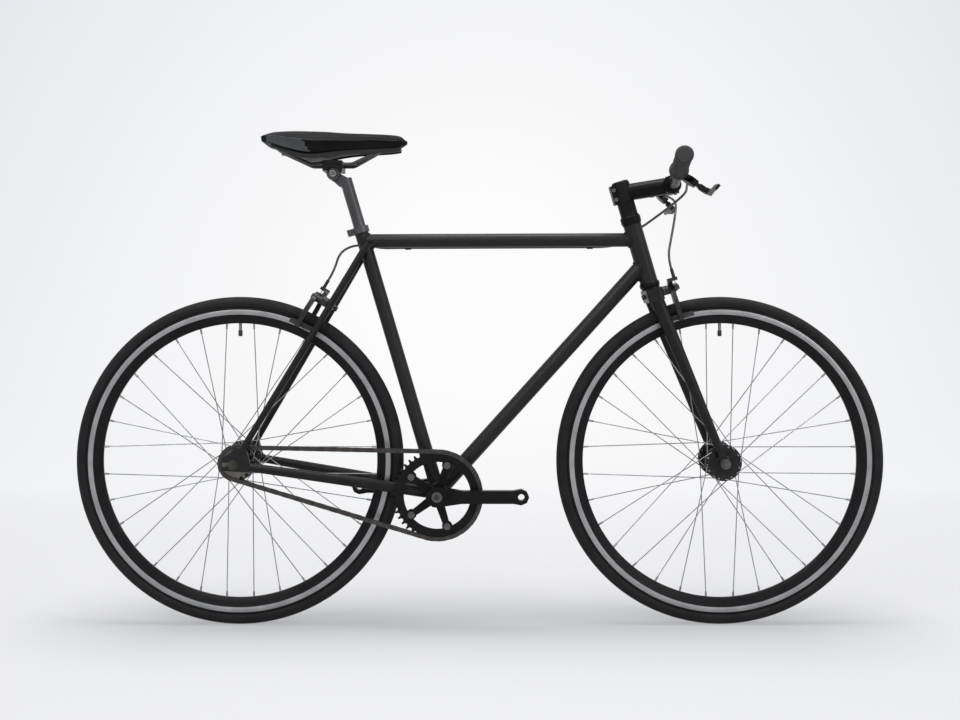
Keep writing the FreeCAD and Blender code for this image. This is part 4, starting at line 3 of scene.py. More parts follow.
import bmesh
import bpy
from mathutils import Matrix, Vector


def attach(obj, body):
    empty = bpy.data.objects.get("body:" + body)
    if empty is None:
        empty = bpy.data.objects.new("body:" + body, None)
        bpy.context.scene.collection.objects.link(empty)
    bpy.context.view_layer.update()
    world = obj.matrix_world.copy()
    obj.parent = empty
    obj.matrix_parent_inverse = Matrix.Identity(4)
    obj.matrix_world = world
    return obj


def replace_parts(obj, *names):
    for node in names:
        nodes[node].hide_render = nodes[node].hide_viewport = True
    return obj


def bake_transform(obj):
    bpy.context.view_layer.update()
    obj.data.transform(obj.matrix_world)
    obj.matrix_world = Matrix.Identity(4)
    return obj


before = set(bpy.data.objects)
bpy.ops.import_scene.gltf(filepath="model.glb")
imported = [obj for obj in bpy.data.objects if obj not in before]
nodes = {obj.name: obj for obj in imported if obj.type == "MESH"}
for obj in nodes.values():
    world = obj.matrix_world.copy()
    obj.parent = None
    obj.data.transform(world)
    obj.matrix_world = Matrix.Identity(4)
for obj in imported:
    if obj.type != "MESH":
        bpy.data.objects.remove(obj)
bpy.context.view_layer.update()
MM = 0.001
Y_AXIS = Vector((0.0, 1.0, 0.0))
Z_AXIS = Vector((0.0, 0.0, 1.0))

# A level camera at the photograph's place, its picture shifted down to the bike; lens and sensor in mm
CAMERA_LENS = 38.85
CAMERA_SENSOR = 36.0
CAMERA_SHIFT = -0.0573
CAMERA_PLACE = (0.0, -2.15, 0.661)
CAMERA_TURN = (math.radians(90.0), 0.0, 0.0)

camera_data = bpy.data.cameras.new("camera")
camera_data.lens = CAMERA_LENS
camera_data.sensor_width = CAMERA_SENSOR
camera_data.shift_y = CAMERA_SHIFT
camera = bpy.data.objects.new("camera", camera_data)
bpy.context.scene.collection.objects.link(camera)
camera.location = CAMERA_PLACE
camera.rotation_euler = CAMERA_TURN
bpy.context.scene.camera = camera


# Material helpers
def start_material(name):
    """A new material with its node tree and its shader."""
    material = bpy.data.materials.new(name)
    material.use_nodes = True
    tree = material.node_tree
    return material, tree, tree.nodes["Principled BSDF"]


def noise(tree, vector, scale, detail=3.0):
    """A soft noise from 0 to 1."""
    node = tree.nodes.new("ShaderNodeTexNoise")
    node.inputs["Scale"].default_value = scale
    node.inputs["Detail"].default_value = detail
    tree.links.new(vector, node.inputs["Vector"])
    return node.outputs["Fac"]


def math_node(tree, operation, first, second=None):
    """The result of a Math node; each value is a number or a socket."""
    node = tree.nodes.new("ShaderNodeMath")
    node.operation = operation
    for index, value in enumerate((first, second)):
        if value is None:
            continue
        if isinstance(value, (int, float)):
            node.inputs[index].default_value = value
        else:
            tree.links.new(value, node.inputs[index])
    return node.outputs[0]


def squared(tree, value):
    return math_node(tree, "MULTIPLY", value, value)


def ranged(tree, value, low, high, out_low, out_high):
    """A value taken from one range to another and held inside it."""
    node = tree.nodes.new("ShaderNodeMapRange")
    tree.links.new(value, node.inputs["Value"])
    for name, number in zip(("From Min", "From Max", "To Min", "To Max"), (low, high, out_low, out_high)):
        node.inputs[name].default_value = number
    return node.outputs["Result"]


def blended(tree, factor, first, second):
    """A colour between two colours; each is a tuple or a socket."""
    node = tree.nodes.new("ShaderNodeMix")
    node.data_type = "RGBA"
    tree.links.new(factor, node.inputs[0])
    for index, value in ((6, first), (7, second)):
        if isinstance(value, tuple):
            node.inputs[index].default_value = (*value, 1.0)
        else:
            tree.links.new(value, node.inputs[index])
    return node.outputs[2]


def bumped(tree, shader, height, strength, distance):
    """Gives the shader a bump from a height."""
    node = tree.nodes.new("ShaderNodeBump")
    node.inputs["Strength"].default_value = strength
    node.inputs["Distance"].default_value = distance
    tree.links.new(height, node.inputs["Height"])
    tree.links.new(node.outputs["Normal"], shader.inputs["Normal"])


def object_place(tree, stretch=(1.0, 1.0, 1.0)):
    """The place on the piece, in its own frame."""
    place = tree.nodes.new("ShaderNodeTexCoord")
    scale = tree.nodes.new("ShaderNodeMapping")
    scale.inputs["Scale"].default_value = stretch
    tree.links.new(place.outputs["Object"], scale.inputs["Vector"])
    return scale.outputs["Vector"]


def axle_distance(tree, place):
    """How far a point lies from the wheel's axle, on a piece whose origin is on the axle."""
    split = tree.nodes.new("ShaderNodeSeparateXYZ")
    tree.links.new(place, split.inputs["Vector"])
    across = squared(tree, split.outputs["X"])
    upward = squared(tree, split.outputs["Z"])
    return math_node(tree, "SQRT", math_node(tree, "ADD", across, upward))


def surface(name, dark, light, rough, spread=0.07, metal=0.0, patch=45.0, grain=1200.0, bump=0.12,
            distance=0.0002, stretch=(1.0, 1.0, 1.0), wear=None, specular=0.5):
    """A mottled colour, uneven gloss, a fine grain and paler edges where the finish is rubbed."""
    material, tree, shader = start_material(name)
    place = object_place(tree, stretch)
    patches = noise(tree, place, patch)
    fine = noise(tree, place, grain, 4.0)
    colour = blended(tree, ranged(tree, patches, 0.3, 0.7, 0.0, 1.0), dark, light)
    if wear:
        geometry = tree.nodes.new("ShaderNodeNewGeometry")
        edge = ranged(tree, geometry.outputs["Pointiness"], 0.54, 0.64, 0.0, 0.5)
        rubbed = math_node(tree, "MULTIPLY", edge, ranged(tree, fine, 0.35, 0.65, 0.2, 1.0))
        colour = blended(tree, rubbed, colour, wear)
    tree.links.new(colour, shader.inputs["Base Color"])
    gloss = ranged(tree, fine, 0.3, 0.7, rough - spread, rough + spread)
    tree.links.new(gloss, shader.inputs["Roughness"])
    shader.inputs["Metallic"].default_value = metal
    shader.inputs["Specular IOR Level"].default_value = specular
    bumped(tree, shader, fine, bump, distance)
    return material


def machined_track(name):
    """Bare turned alloy with fine rings about the wheel's axle."""
    material, tree, shader = start_material(name)
    place = object_place(tree)
    rings = math_node(tree, "SINE", math_node(tree, "MULTIPLY", axle_distance(tree, place), 9000.0))
    smear = noise(tree, place, 30.0)
    mixed = math_node(tree, "ADD", math_node(tree, "MULTIPLY", rings, 0.25), smear)
    colour = blended(tree, ranged(tree, mixed, 0.1, 0.9, 0.0, 1.0), (0.24, 0.24, 0.245), (0.42, 0.42, 0.425))
    tree.links.new(colour, shader.inputs["Base Color"])
    tree.links.new(ranged(tree, mixed, 0.1, 0.9, 0.28, 0.42), shader.inputs["Roughness"])
    shader.inputs["Metallic"].default_value = 0.85
    bumped(tree, shader, rings, 0.12, 0.0001)
    return material


def tyre_rubber(name):
    """Matte rubber with a dusty bloom and fine moulding rings on the side walls."""
    material, tree, shader = start_material(name)
    place = object_place(tree)
    radius = axle_distance(tree, place)
    rings = math_node(tree, "SINE", math_node(tree, "MULTIPLY", radius, 4200.0))
    side_only = ranged(tree, radius, 0.327, 0.331, 1.0, 0.0)
    moulded = math_node(tree, "MULTIPLY", rings, side_only)
    bloom = noise(tree, place, 25.0)
    fine = noise(tree, place, 1500.0, 4.0)
    dusty = ranged(tree, bloom, 0.3, 0.75, 0.0, 1.0)
    colour = blended(tree, dusty, (0.008, 0.008, 0.0085), (0.015, 0.015, 0.0155))
    tree.links.new(colour, shader.inputs["Base Color"])
    tree.links.new(ranged(tree, fine, 0.3, 0.7, 0.58, 0.76), shader.inputs["Roughness"])
    shader.inputs["Specular IOR Level"].default_value = 0.18
    height = math_node(tree, "ADD", math_node(tree, "MULTIPLY", moulded, 0.4), fine)
    bumped(tree, shader, height, 0.25, 0.0003)
    return material


def saddle_leather(name, dark, light, grain):
    """Matte synthetic leather: small cells, with painted shade darkening the creases between them."""
    material, tree, shader = start_material(name)
    place = object_place(tree)
    cells = tree.nodes.new("ShaderNodeTexVoronoi")
    cells.feature = "DISTANCE_TO_EDGE"
    cells.inputs["Scale"].default_value = grain
    tree.links.new(place, cells.inputs["Vector"])
    crease = ranged(tree, cells.outputs["Distance"], 0.0, 0.18, 0.0, 1.0)
    patches = noise(tree, place, 35.0)
    tint = blended(tree, ranged(tree, patches, 0.3, 0.7, 0.0, 1.0), dark, light)
    # Painted shade: the creases take a darker copy of the colour, 0.55 of the dark one
    deep = tuple(value * 0.55 for value in dark)
    tree.links.new(blended(tree, crease, deep, tint), shader.inputs["Base Color"])
    tree.links.new(ranged(tree, crease, 0.0, 1.0, 0.66, 0.46), shader.inputs["Roughness"])
    shader.inputs["Specular IOR Level"].default_value = 0.06
    bumped(tree, shader, crease, 0.3, 0.0003)
    return material


# Materials, each with its darker and lighter colour and its roughness, and the CAD nodes that wear them
PAINT = surface("frame_paint_black", (0.005, 0.005, 0.0055), (0.009, 0.009, 0.0095), 0.38, specular=0.2,
                wear=(0.03, 0.03, 0.031))
WELD = surface("weld_paint_black", (0.005, 0.005, 0.0055), (0.010, 0.010, 0.0105), 0.40, grain=700.0,
               bump=0.3, specular=0.2)
ALLOY = surface("anodised_black", (0.004, 0.004, 0.0045), (0.008, 0.008, 0.0085), 0.36, metal=0.1,
                grain=2200.0, specular=0.1, wear=(0.025, 0.025, 0.026))
BRAKE = surface("brake_grey", (0.016, 0.016, 0.017), (0.030, 0.030, 0.031), 0.34, metal=0.5, grain=2200.0,
                wear=(0.10, 0.10, 0.105))
CRANK = surface("crank_black", (0.003, 0.003, 0.0034), (0.006, 0.006, 0.0065), 0.28, spread=0.05, metal=0.1,
                specular=0.1, wear=(0.025, 0.025, 0.026))
RIM = surface("rim_black", (0.004, 0.004, 0.0045), (0.008, 0.008, 0.0085), 0.34, spread=0.05, metal=0.1,
              patch=20.0, specular=0.15)
POST = surface("seatpost_dark", (0.055, 0.055, 0.058), (0.085, 0.085, 0.089), 0.30, metal=0.6,
               stretch=(1.0, 1.0, 0.12), grain=2600.0)
CLAMP = surface("seat_clamp_grey", (0.030, 0.030, 0.031), (0.055, 0.055, 0.057), 0.36, metal=0.6,
                wear=(0.16, 0.16, 0.165))
STEEL = surface("plain_steel", (0.22, 0.22, 0.22), (0.34, 0.34, 0.34), 0.34, metal=0.9,
                wear=(0.55, 0.55, 0.55))
BOLTS = surface("dark_bolts", (0.030, 0.030, 0.031), (0.060, 0.060, 0.062), 0.36, metal=0.7,
                wear=(0.3, 0.3, 0.3))
SPOKE = surface("drawn_spoke", (0.20, 0.20, 0.205), (0.34, 0.34, 0.345), 0.30, metal=0.8, patch=25.0)
CHAIN = surface("oiled_chain", (0.034, 0.030, 0.027), (0.060, 0.054, 0.048), 0.40, metal=0.6, patch=120.0,
                wear=(0.12, 0.112, 0.10))
HUB = surface("front_hub_black", (0.006, 0.006, 0.0065), (0.011, 0.011, 0.0115), 0.28, metal=0.2,
              specular=0.25, wear=(0.06, 0.06, 0.063))
REAR_HUB = surface("rear_hub_bronze", (0.022, 0.020, 0.017), (0.050, 0.045, 0.038), 0.36, metal=0.7,
                   wear=(0.16, 0.15, 0.135))
COG = surface("cog_steel", (0.05, 0.046, 0.040), (0.12, 0.112, 0.10), 0.36, metal=0.8,
              wear=(0.34, 0.33, 0.30))
BUTYL = surface("butyl", (0.014, 0.014, 0.014), (0.022, 0.022, 0.022), 0.6)
GRIP = surface("grip_rubber", (0.011, 0.011, 0.0115), (0.022, 0.022, 0.023), 0.66, grain=1800.0, bump=0.35)
PAD = surface("brake_pad_rubber", (0.016, 0.016, 0.016), (0.032, 0.032, 0.032), 0.72, bump=0.3)
HOUSING = surface("cable_housing_grey", (0.040, 0.040, 0.042), (0.070, 0.070, 0.073), 0.42, patch=120.0)
WIRE = surface("cable_wire", (0.30, 0.30, 0.30), (0.46, 0.46, 0.46), 0.32, metal=0.9, grain=3000.0)
SHELL = surface("saddle_shell_plastic", (0.008, 0.008, 0.008), (0.014, 0.014, 0.014), 0.5, bump=0.3,
                specular=0.3)
VALVE = surface("valve_metal", (0.12, 0.12, 0.12), (0.22, 0.22, 0.22), 0.3, metal=0.85, grain=2500.0)
TRACK = machined_track("brake_track_bare")
RUBBER = tyre_rubber("tyre_rubber_black")
LEATHER = saddle_leather("saddle_leather_black", (0.006, 0.006, 0.0065), (0.012, 0.012, 0.0125), 700.0)
# Painted highlight: a lighter grey copy of the leather, worn on the saddle's sides
SIDE_HIGHLIGHT = saddle_leather("saddle_side_highlight_grey", (0.080, 0.089, 0.090), (0.120, 0.131, 0.132), 900.0)
THREAD = surface("saddle_thread", (0.05, 0.05, 0.05), (0.09, 0.09, 0.09), 0.7, grain=3500.0, bump=0.4)

LOOKS = {
    PAINT: ("head_tube", "bottom_bracket_shell", "seat_tube", "top_tube", "down_tube", "rear_dropouts",
            "chainstays", "seatstays", "brake_bridge", "cable_guides", "fork_crown", "fork_blades"),
    ALLOY: ("headset_cups", "headset_spacers", "headset_top_cap", "stem", "stem_faceplate", "handlebar",
            "brake_lever_brackets", "brake_lever_left", "brake_lever_right", "saddle_clamp"),
    BRAKE: ("front_brake_bracket", "rear_brake_bracket", "front_brake_arm_left", "front_brake_arm_right",
            "rear_brake_arm_left", "rear_brake_arm_right"),
    CRANK: ("crank_arm_right", "crank_arm_left", "chainring"),
    RIM: ("front_rim", "rear_rim"),
    POST: ("seatpost",),
    CLAMP: ("seat_clamp",),
    STEEL: ("fork_steerer", "bottom_bracket_spindle"),
    BOLTS: ("stem_bolts", "crankset_bolts", "front_axle", "bottom_bracket_cartridge", "saddle_rails"),
    SPOKE: ("front_spokes", "rear_spokes"),
    CHAIN: ("chain",),
    HUB: ("front_hub",),
    REAR_HUB: ("rear_hub", "rear_axle"),
    COG: ("rear_cog", "cog_lockring"),
    RUBBER: ("front_tyre", "rear_tyre"),
    BUTYL: ("front_inner_tube", "rear_inner_tube"),
    GRIP: ("handlebar_grips",),
    HOUSING: ("front_brake_cable", "rear_brake_cable", "rear_brake_cable_loop"),
    LEATHER: ("saddle_cover",),
    SHELL: ("saddle_shell",),
}
for material, names in LOOKS.items():
    for name in names:
        node = nodes[name]
        if not node.material_slots:
            node.data.materials.append(material)
        for place in node.material_slots:
            place.material = material


# Mesh helpers
def link(item):
    bpy.context.scene.collection.objects.link(item)
    return item


def mesh_piece(name, points, faces, materials, looks=None, smooth=True):
    """A closed mesh piece with its faces turned outward; looks gives each face's material number."""
    mesh = bpy.data.meshes.new(name)
    mesh.from_pydata([tuple(point) for point in points], [], faces)
    for material in materials:
        mesh.materials.append(material)
    if looks:
        mesh.polygons.foreach_set("material_index", looks)
    mesh.polygons.foreach_set("use_smooth", [smooth] * len(faces))
    shape = bmesh.new()
    shape.from_mesh(mesh)
    bmesh.ops.recalc_face_normals(shape, faces=shape.faces)
    shape.to_mesh(mesh)
    shape.free()
    return link(bpy.data.objects.new(name, mesh))


def ring_faces(rings, around, looped):
    """Quads between rows of points, each row a closed ring; looped joins the last row to the first."""
    faces = []
    for row in range(rings if looped else rings - 1):
        following = (row + 1) % rings
        for step in range(around):
            ahead = (step + 1) % around
            faces.append((row * around + step, row * around + ahead, following * around + ahead,
                          following * around + step))
    return faces


def wheel_piece(name, centre, profile, count, materials, bands, relief=None):
    """A ring turned about the axle from a closed outline of (radius, side) in millimetres."""
    points = []
    for step in range(count):
        turn = 2 * math.pi * step / count
        for index, (radius, side) in enumerate(profile):
            reach = radius + (relief(step, index) if relief else 0.0)
            points.append(Vector((reach * math.cos(turn), side, reach * math.sin(turn))) * MM)
    faces = ring_faces(count, len(profile), True)
    item = mesh_piece(name, points, faces, materials, bands * count)
    item.location = centre
    return item


def turned_piece(name, start, axis, profile, materials, count=40, bands=None):
    """A body turned about an axis from (radius, along) pairs in millimetres, closed at both ends."""
    axis = axis.normalized()
    across = axis.orthogonal().normalized()
    other = axis.cross(across)
    points = []
    for radius, along in profile:
        for step in range(count):
            turn = 2 * math.pi * step / count
            out = across * math.cos(turn) + other * math.sin(turn)
            points.append(start + (axis * along + out * radius) * MM)
    faces = ring_faces(len(profile), count, False)
    looks = [bands[number // count] for number in range(len(faces))] if bands else None
    faces.append(tuple(range(count)))
    faces.append(tuple(range((len(profile) - 1) * count, len(profile) * count)))
    if looks:
        looks += [bands[0], bands[-1]]
    return mesh_piece(name, points, faces, materials, looks)


def soften(item, width):
    """Rounds the sharp edges of a piece."""
    modifier = item.modifiers.new("rounding", "BEVEL")
    modifier.width = width
    modifier.segments = 2
    modifier.limit_method = "ANGLE"
    return item


# Wheels: tyres with a tread, rims with bare brake tracks, and valve stems; outlines in (radius, side)
WHEEL_CENTRES = (("front", Vector((0.497, 0.0, 0.339))), ("rear", Vector((-0.497, 0.0, 0.339))))
RIM_STEPS = 256
RIM_OUTLINE = [
    (284.0, -2.5), (284.0, 2.5), (284.9, 4.1), (286.6, 5.2), (294.0, 8.0), (302.4, 11.1), (303.2, 11.5),
    (312.4, 11.5), (312.7, 11.35), (313.0, 11.5), (316.0, 11.5), (316.5, 11.1), (316.5, 9.3), (307.2, 9.3),
    (305.4, 5.2), (305.4, -5.2), (307.2, -9.3), (316.5, -9.3), (316.5, -11.1), (316.0, -11.5),
    (313.0, -11.5), (312.7, -11.35), (312.4, -11.5), (303.2, -11.5), (302.4, -11.1), (294.0, -8.0),
    (286.6, -5.2), (284.9, -4.1),
]
RIM_BANDS = [0, 0, 0, 0, 0, 1, 1, 0, 0, 0, 0, 0, 0, 0, 0, 0, 0, 0, 0, 0, 0, 0, 1, 1, 0, 0, 0, 0]
TYRE_MIDDLE = 325.0
TYRE_RADIUS = 13.9
TYRE_INSIDE = 12.1
TYRE_FLATTER = 0.96
BEAD_EDGE = (316.9, 9.1)
BEAD_FOOT = ((310.6, 9.0), (310.6, 7.4))
TREAD_STEPS = 1080
TREAD_REPEAT = 12
OUTER_TURNS = [-118 + 236 * step / 40 for step in range(41)]
INNER_TURNS = [112 - 224 * step / 16 for step in range(17)]
CROWN_LINE = (8, 13)
CROWN_LINE_DEPTH = 0.35
SIPES = (17, 56)
SIPE_DEPTH = 0.75
SIPE_SLANT = 0.24
VALVE_FOOT = 284.5
VALVE_GROOVES = 12
VALVE_CAP = [(3.4, 15.0), (4.2, 15.4), (4.3, 16.6), (4.3, 25.4), (3.9, 26.6), (2.4, 27.4)]


def tyre_outline():
    """The tyre's section: outside from bead to bead, then back along the inside."""
    outline = [(BEAD_EDGE[0], -BEAD_EDGE[1])]
    for turn in OUTER_TURNS:
        radius = TYRE_MIDDLE + TYRE_RADIUS * math.cos(math.radians(turn))
        side = TYRE_RADIUS * math.sin(math.radians(turn))
        outline.append((radius, side))
    outline.append(BEAD_EDGE)
    outline += BEAD_FOOT
    for turn in INNER_TURNS:
        radius = TYRE_MIDDLE + TYRE_INSIDE * math.cos(math.radians(turn))
        outline.append((radius, TYRE_INSIDE * math.sin(math.radians(turn)) * TYRE_FLATTER))
    outline += [(radius, -side) for radius, side in reversed(BEAD_FOOT)]
    return outline


def tread_depth(step, index):
    """Slanted sipes on both shoulders and a fine line each side of the crown, in millimetres."""
    place = index - 1
    if not 0 <= place < len(OUTER_TURNS):
        return 0.0
    lean = abs(OUTER_TURNS[place])
    if CROWN_LINE[0] < lean < CROWN_LINE[1]:
        return -CROWN_LINE_DEPTH
    if SIPES[0] < lean < SIPES[1]:
        phase = (step + round((lean - SIPES[0]) * SIPE_SLANT)) % TREAD_REPEAT
        return -SIPE_DEPTH if phase in (0, 1) else 0.0
    return 0.0


def valve_outline():
    """A grooved stem with its cap."""
    outline = [(3.3, 0.0), (3.3, 1.0)]
    for groove in range(VALVE_GROOVES):
        outline += [(3.3, 1.2 + groove * 1.1), (3.12, 1.7 + groove * 1.1)]
    return outline + VALVE_CAP


tyre_profile = tyre_outline()
valve_profile = valve_outline()
valve_bands = [0] * (len(valve_profile) - len(VALVE_CAP)) + [1] * (len(VALVE_CAP) - 1)
for word, centre in WHEEL_CENTRES:
    body = word + "_wheel"
    rim = wheel_piece(word + "_rim_dressed", centre, RIM_OUTLINE, RIM_STEPS, [RIM, TRACK], RIM_BANDS)
    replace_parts(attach(rim, body), word + "_rim")
    tyre = wheel_piece(word + "_tyre_dressed", centre, tyre_profile, TREAD_STEPS, [RUBBER],
                       [0] * len(tyre_profile), tread_depth)
    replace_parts(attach(tyre, body), word + "_tyre")
    valve = turned_piece(word + "_valve_stem", centre + Z_AXIS * VALVE_FOOT * MM, -Z_AXIS, valve_profile,
                         [VALVE, BUTYL], 24, valve_bands)
    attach(valve, body)


# Grips with ribs between a collar and a closed end, on the bar's two ends
BAR_END = (367.197, 290.0, 930.949)
BAR_WAY = (-28.0, 245.0, 22.0)
GRIP_REACH = 130.0
GRIP_COLLAR = [(11.3, 0.0), (18.4, 0.0), (19.0, 0.6), (19.0, 3.4), (18.4, 4.0), (16.6, 5.6), (15.6, 7.4)]
GRIP_END = [(15.6, 122.0), (16.2, 124.0), (16.9, 126.6), (16.9, 131.4), (16.2, 132.7), (12.0, 133.0)]
RIB_START = 9.0
RIB_STOP = 118.0
RIB_PITCH = 4.2


def grip_profile():
    """The grip's outline: collar, ribs and end."""
    profile = list(GRIP_COLLAR)
    rib = RIB_START
    while rib < RIB_STOP:
        profile += [(15.2, rib), (16.0, rib + 0.7), (16.0, rib + 2.6), (15.2, rib + 3.3)]
        rib += RIB_PITCH
    return profile + GRIP_END


for word, side in (("left", 1), ("right", -1)):
    along = Vector((BAR_WAY[0], side * BAR_WAY[1], BAR_WAY[2])).normalized()
    end = Vector((BAR_END[0], side * BAR_END[1], BAR_END[2])) * MM
    start = end - along * GRIP_REACH * MM
    grip = turned_piece("grip_%s_ribbed" % word, start, along, grip_profile(), [GRIP], 48)
    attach(grip, "fork")
    if side > 0:
        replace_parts(grip, "handlebar_grips")


# Brake cables along the routes of the solids
def route_curve(name, points, width):
    """A round cable along a smooth line with the route's points as its control points."""
    curve = bpy.data.curves.new(name, "CURVE")
    curve.dimensions = "3D"
    curve.resolution_u = 12
    curve.bevel_depth = width * MM / 2
    curve.bevel_resolution = 5
    curve.use_fill_caps = True
    spline = curve.splines.new("NURBS")
    spline.points.add(len(points) - 1)
    for point, place in zip(spline.points, points):
        point.co = (place[0] * MM, place[1] * MM, place[2] * MM, 1.0)
    spline.order_u = 3
    spline.use_endpoint_u = True
    curve.materials.append(HOUSING)
    return link(bpy.data.objects.new(name, curve))


def inner_wire(name, start, end):
    """The bare wire from a brake's arm up to its adjuster, with the ferrule at the upper end."""
    way = Vector(end) - Vector(start)
    length = way.length
    profile = [(1.0, length * 0.12 * step) for step in range(7)]
    profile += [(2.3, length * 0.74), (2.3, length * 0.87), (2.3, length)]
    return turned_piece(name, Vector(start) * MM, way, profile, [WIRE], 16)


FRONT_ROUTE = [
    (406.26, 124.34, 899.19), (409.08, 99.60, 896.96), (419.0, 66.0, 882.0), (413.0, 36.0, 860.0),
    (404.0, 10.0, 830.0), (394.0, -13.0, 797.0), (384.91, -27.05, 759.54), (391.93, -27.05, 735.55),
]
LOOP_ROUTE = [
    (406.26, -124.34, 899.19), (409.08, -99.60, 896.96), (416.0, -62.0, 888.0), (401.0, -28.0, 872.0),
    (377.0, 3.0, 852.0), (345.0, 23.0, 828.0), (306.0, 24.0, 803.0), (285.0, 11.76, 781.85),
    (235.0, 11.76, 781.65),
]
REAR_ROUTE = [
    (235.0, 11.76, 781.65), (-142.0, 11.76, 780.07), (-175.0, 11.76, 779.94), (-206.0, 23.0, 780.0),
    (-238.0, 32.0, 787.0), (-270.0, 32.0, 786.0), (-296.0, 30.0, 770.0), (-305.62, 27.05, 734.87),
    (-318.38, 27.05, 713.37),
]
FRONT_WIRE_ENDS = ((401.57, -27.05, 702.59), (395.33, -27.05, 723.94))
REAR_WIRE_ENDS = ((-335.91, 27.05, 683.83), (-324.55, 27.05, 702.96))
CABLE_WIDTH = 5.0

front_cable = route_curve("front_cable_housing", FRONT_ROUTE, CABLE_WIDTH)
front_wire = inner_wire("front_cable_wire", *FRONT_WIRE_ENDS)
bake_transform(front_wire)
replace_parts(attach(front_cable, "fork"), "front_brake_cable")

rear_cable = route_curve("rear_cable_housing", REAR_ROUTE, CABLE_WIDTH)
rear_wire = inner_wire("rear_cable_wire", *REAR_WIRE_ENDS)
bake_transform(rear_wire)
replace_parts(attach(rear_cable, "frame"), "rear_brake_cable")



def drawn_mesh(item):
    """A mesh of a curve as it is drawn."""
    bpy.context.view_layer.update()
    graph = bpy.context.evaluated_depsgraph_get()
    return bpy.data.meshes.new_from_object(item.evaluated_get(graph), depsgraph=graph)


# The loop is a mesh tube, because it bends between frame and fork
loop_curve = route_curve("rear_cable_loop_route", LOOP_ROUTE, CABLE_WIDTH)
loop_mesh = drawn_mesh(loop_curve)
loop_curve.data.bevel_depth = 0.0
loop_curve.data.use_fill_caps = False
line_mesh = drawn_mesh(loop_curve)
bpy.data.meshes.remove(line_mesh)
bpy.data.objects.remove(loop_curve)
loop = link(bpy.data.objects.new("rear_cable_loop_housing", loop_mesh))
loop_mesh.polygons.foreach_set("use_smooth", [True] * len(loop_mesh.polygons))
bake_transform(loop)
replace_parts(loop, "rear_brake_cable_loop")


# Brake pads: a grooved rubber block on each brake arm; its faces are measured from the middle plane
PAD_INNER = 14.06
PAD_OUTER = 22.55
PAD_HALF_LENGTH = 25.4
PAD_HALF_HEIGHT = 5.05
PAD_GROOVES = (-12.0, 0.0, 12.0)
GROOVE_DEPTH = 1.6
GROOVE_EDGES = (-1.4, -0.9, 0.9, 1.4)
PAD_PLACES = (
    ("front", (415.19, 0.0, 638.01), (0.9645, 0.0, 0.2639), (-0.2639, 0.0, 0.9645)),
    ("rear", (-367.52, 0.0, 620.67), (-0.9086, 0.0, 0.4177), (0.4177, 0.0, 0.9086)),
)


def pad_piece(name, centre, along, rise, side):
    """One pad, with its length along the rim and lower ends."""
    along = Vector(along)
    rise = Vector(rise)
    stations = [-PAD_HALF_LENGTH]
    for groove in PAD_GROOVES:
        stations += [groove + edge for edge in GROOVE_EDGES]
    stations.append(PAD_HALF_LENGTH)
    points = []
    for number, station in enumerate(stations):
        in_groove = any(abs(station - groove) < 1.0 for groove in PAD_GROOVES)
        face = PAD_INNER + (GROOVE_DEPTH if in_groove else 0.0)
        half = PAD_HALF_HEIGHT * (0.7 if number in (0, len(stations) - 1) else 1.0)
        for depth, tall in ((face, -half), (face, half), (PAD_OUTER, half), (PAD_OUTER, -half)):
            place = Vector((centre[0], side * depth, centre[2])) + along * station + rise * tall
            points.append(place * MM)
    faces = ring_faces(len(stations), 4, False)
    faces.append((0, 1, 2, 3))
    last = 4 * (len(stations) - 1)
    faces.append((last, last + 1, last + 2, last + 3))
    return soften(mesh_piece(name, points, faces, [PAD], smooth=False), 0.0004)


for word, centre, along, rise in PAD_PLACES:
    for side, hand in ((1, "left"), (-1, "right")):
        pad = pad_piece("%s_pad_%s" % (word, hand), centre, along, rise, side)
        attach(pad, "%s_brake_arm_%s" % (word, hand))


# Weld beads where the frame's tubes meet; each tube as a point, its way and its radius
HEAD = ((332.942, 0.0, 768.206), (-0.2807, 0.0, 0.9598), 18.5)
SEAT = ((-86.882, 0.0, 274.0), (-0.2840, 0.0, 0.9588), 14.3)
BRACKET = ((-86.882, 0.0, 274.0), (0.0, 1.0, 0.0), 20.0)
WELD_STEPS = 160
WELD_SIDES = 8
WELD_RADIUS = 2.5
WELD_RIPPLE = 0.14
WELD_RIPPLE_STEPS = 4.0


def weld(name, start, way, radius, other_start, other_way, other_radius):
    """A rippled bead along the line where one tube meets the outside of another."""
    way = Vector(way).normalized()
    other_way = Vector(other_way).normalized()
    across = Y_AXIS if abs(way.y) < 0.5 else Z_AXIS
    rise = way.cross(across).normalized()
    line = []
    for step in range(WELD_STEPS):
        turn = 2 * math.pi * step / WELD_STEPS
        out = across * math.cos(turn) + rise * math.sin(turn)
        foot = Vector(start) + out * radius
        apart = foot - Vector(other_start)
        flat = apart - other_way * apart.dot(other_way)
        slope = way - other_way * way.dot(other_way)
        middle = flat.dot(slope)
        inside = max(middle * middle - slope.length_squared * (flat.length_squared - other_radius**2), 0.0)
        reach = (-middle - math.sqrt(inside)) / slope.length_squared
        place = foot + way * reach
        apart = place - Vector(other_start)
        normal = (apart - other_way * apart.dot(other_way)).normalized()
        line.append((place, (out + normal).normalized()))
    points = []
    for step in range(WELD_STEPS):
        place, lift = line[step]
        along = (line[(step + 1) % WELD_STEPS][0] - line[step - 1][0]).normalized()
        beside = along.cross(lift).normalized()
        bead = WELD_RADIUS * (1.0 + WELD_RIPPLE * math.sin(2 * math.pi * step / WELD_RIPPLE_STEPS))
        for corner in range(WELD_SIDES):
            turn = 2 * math.pi * corner / WELD_SIDES
            points.append((place + (lift * math.sin(turn) + beside * math.cos(turn)) * bead) * MM)
    item = mesh_piece(name, points, ring_faces(WELD_STEPS, WELD_SIDES, True), [WELD])
    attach(item, "frame")


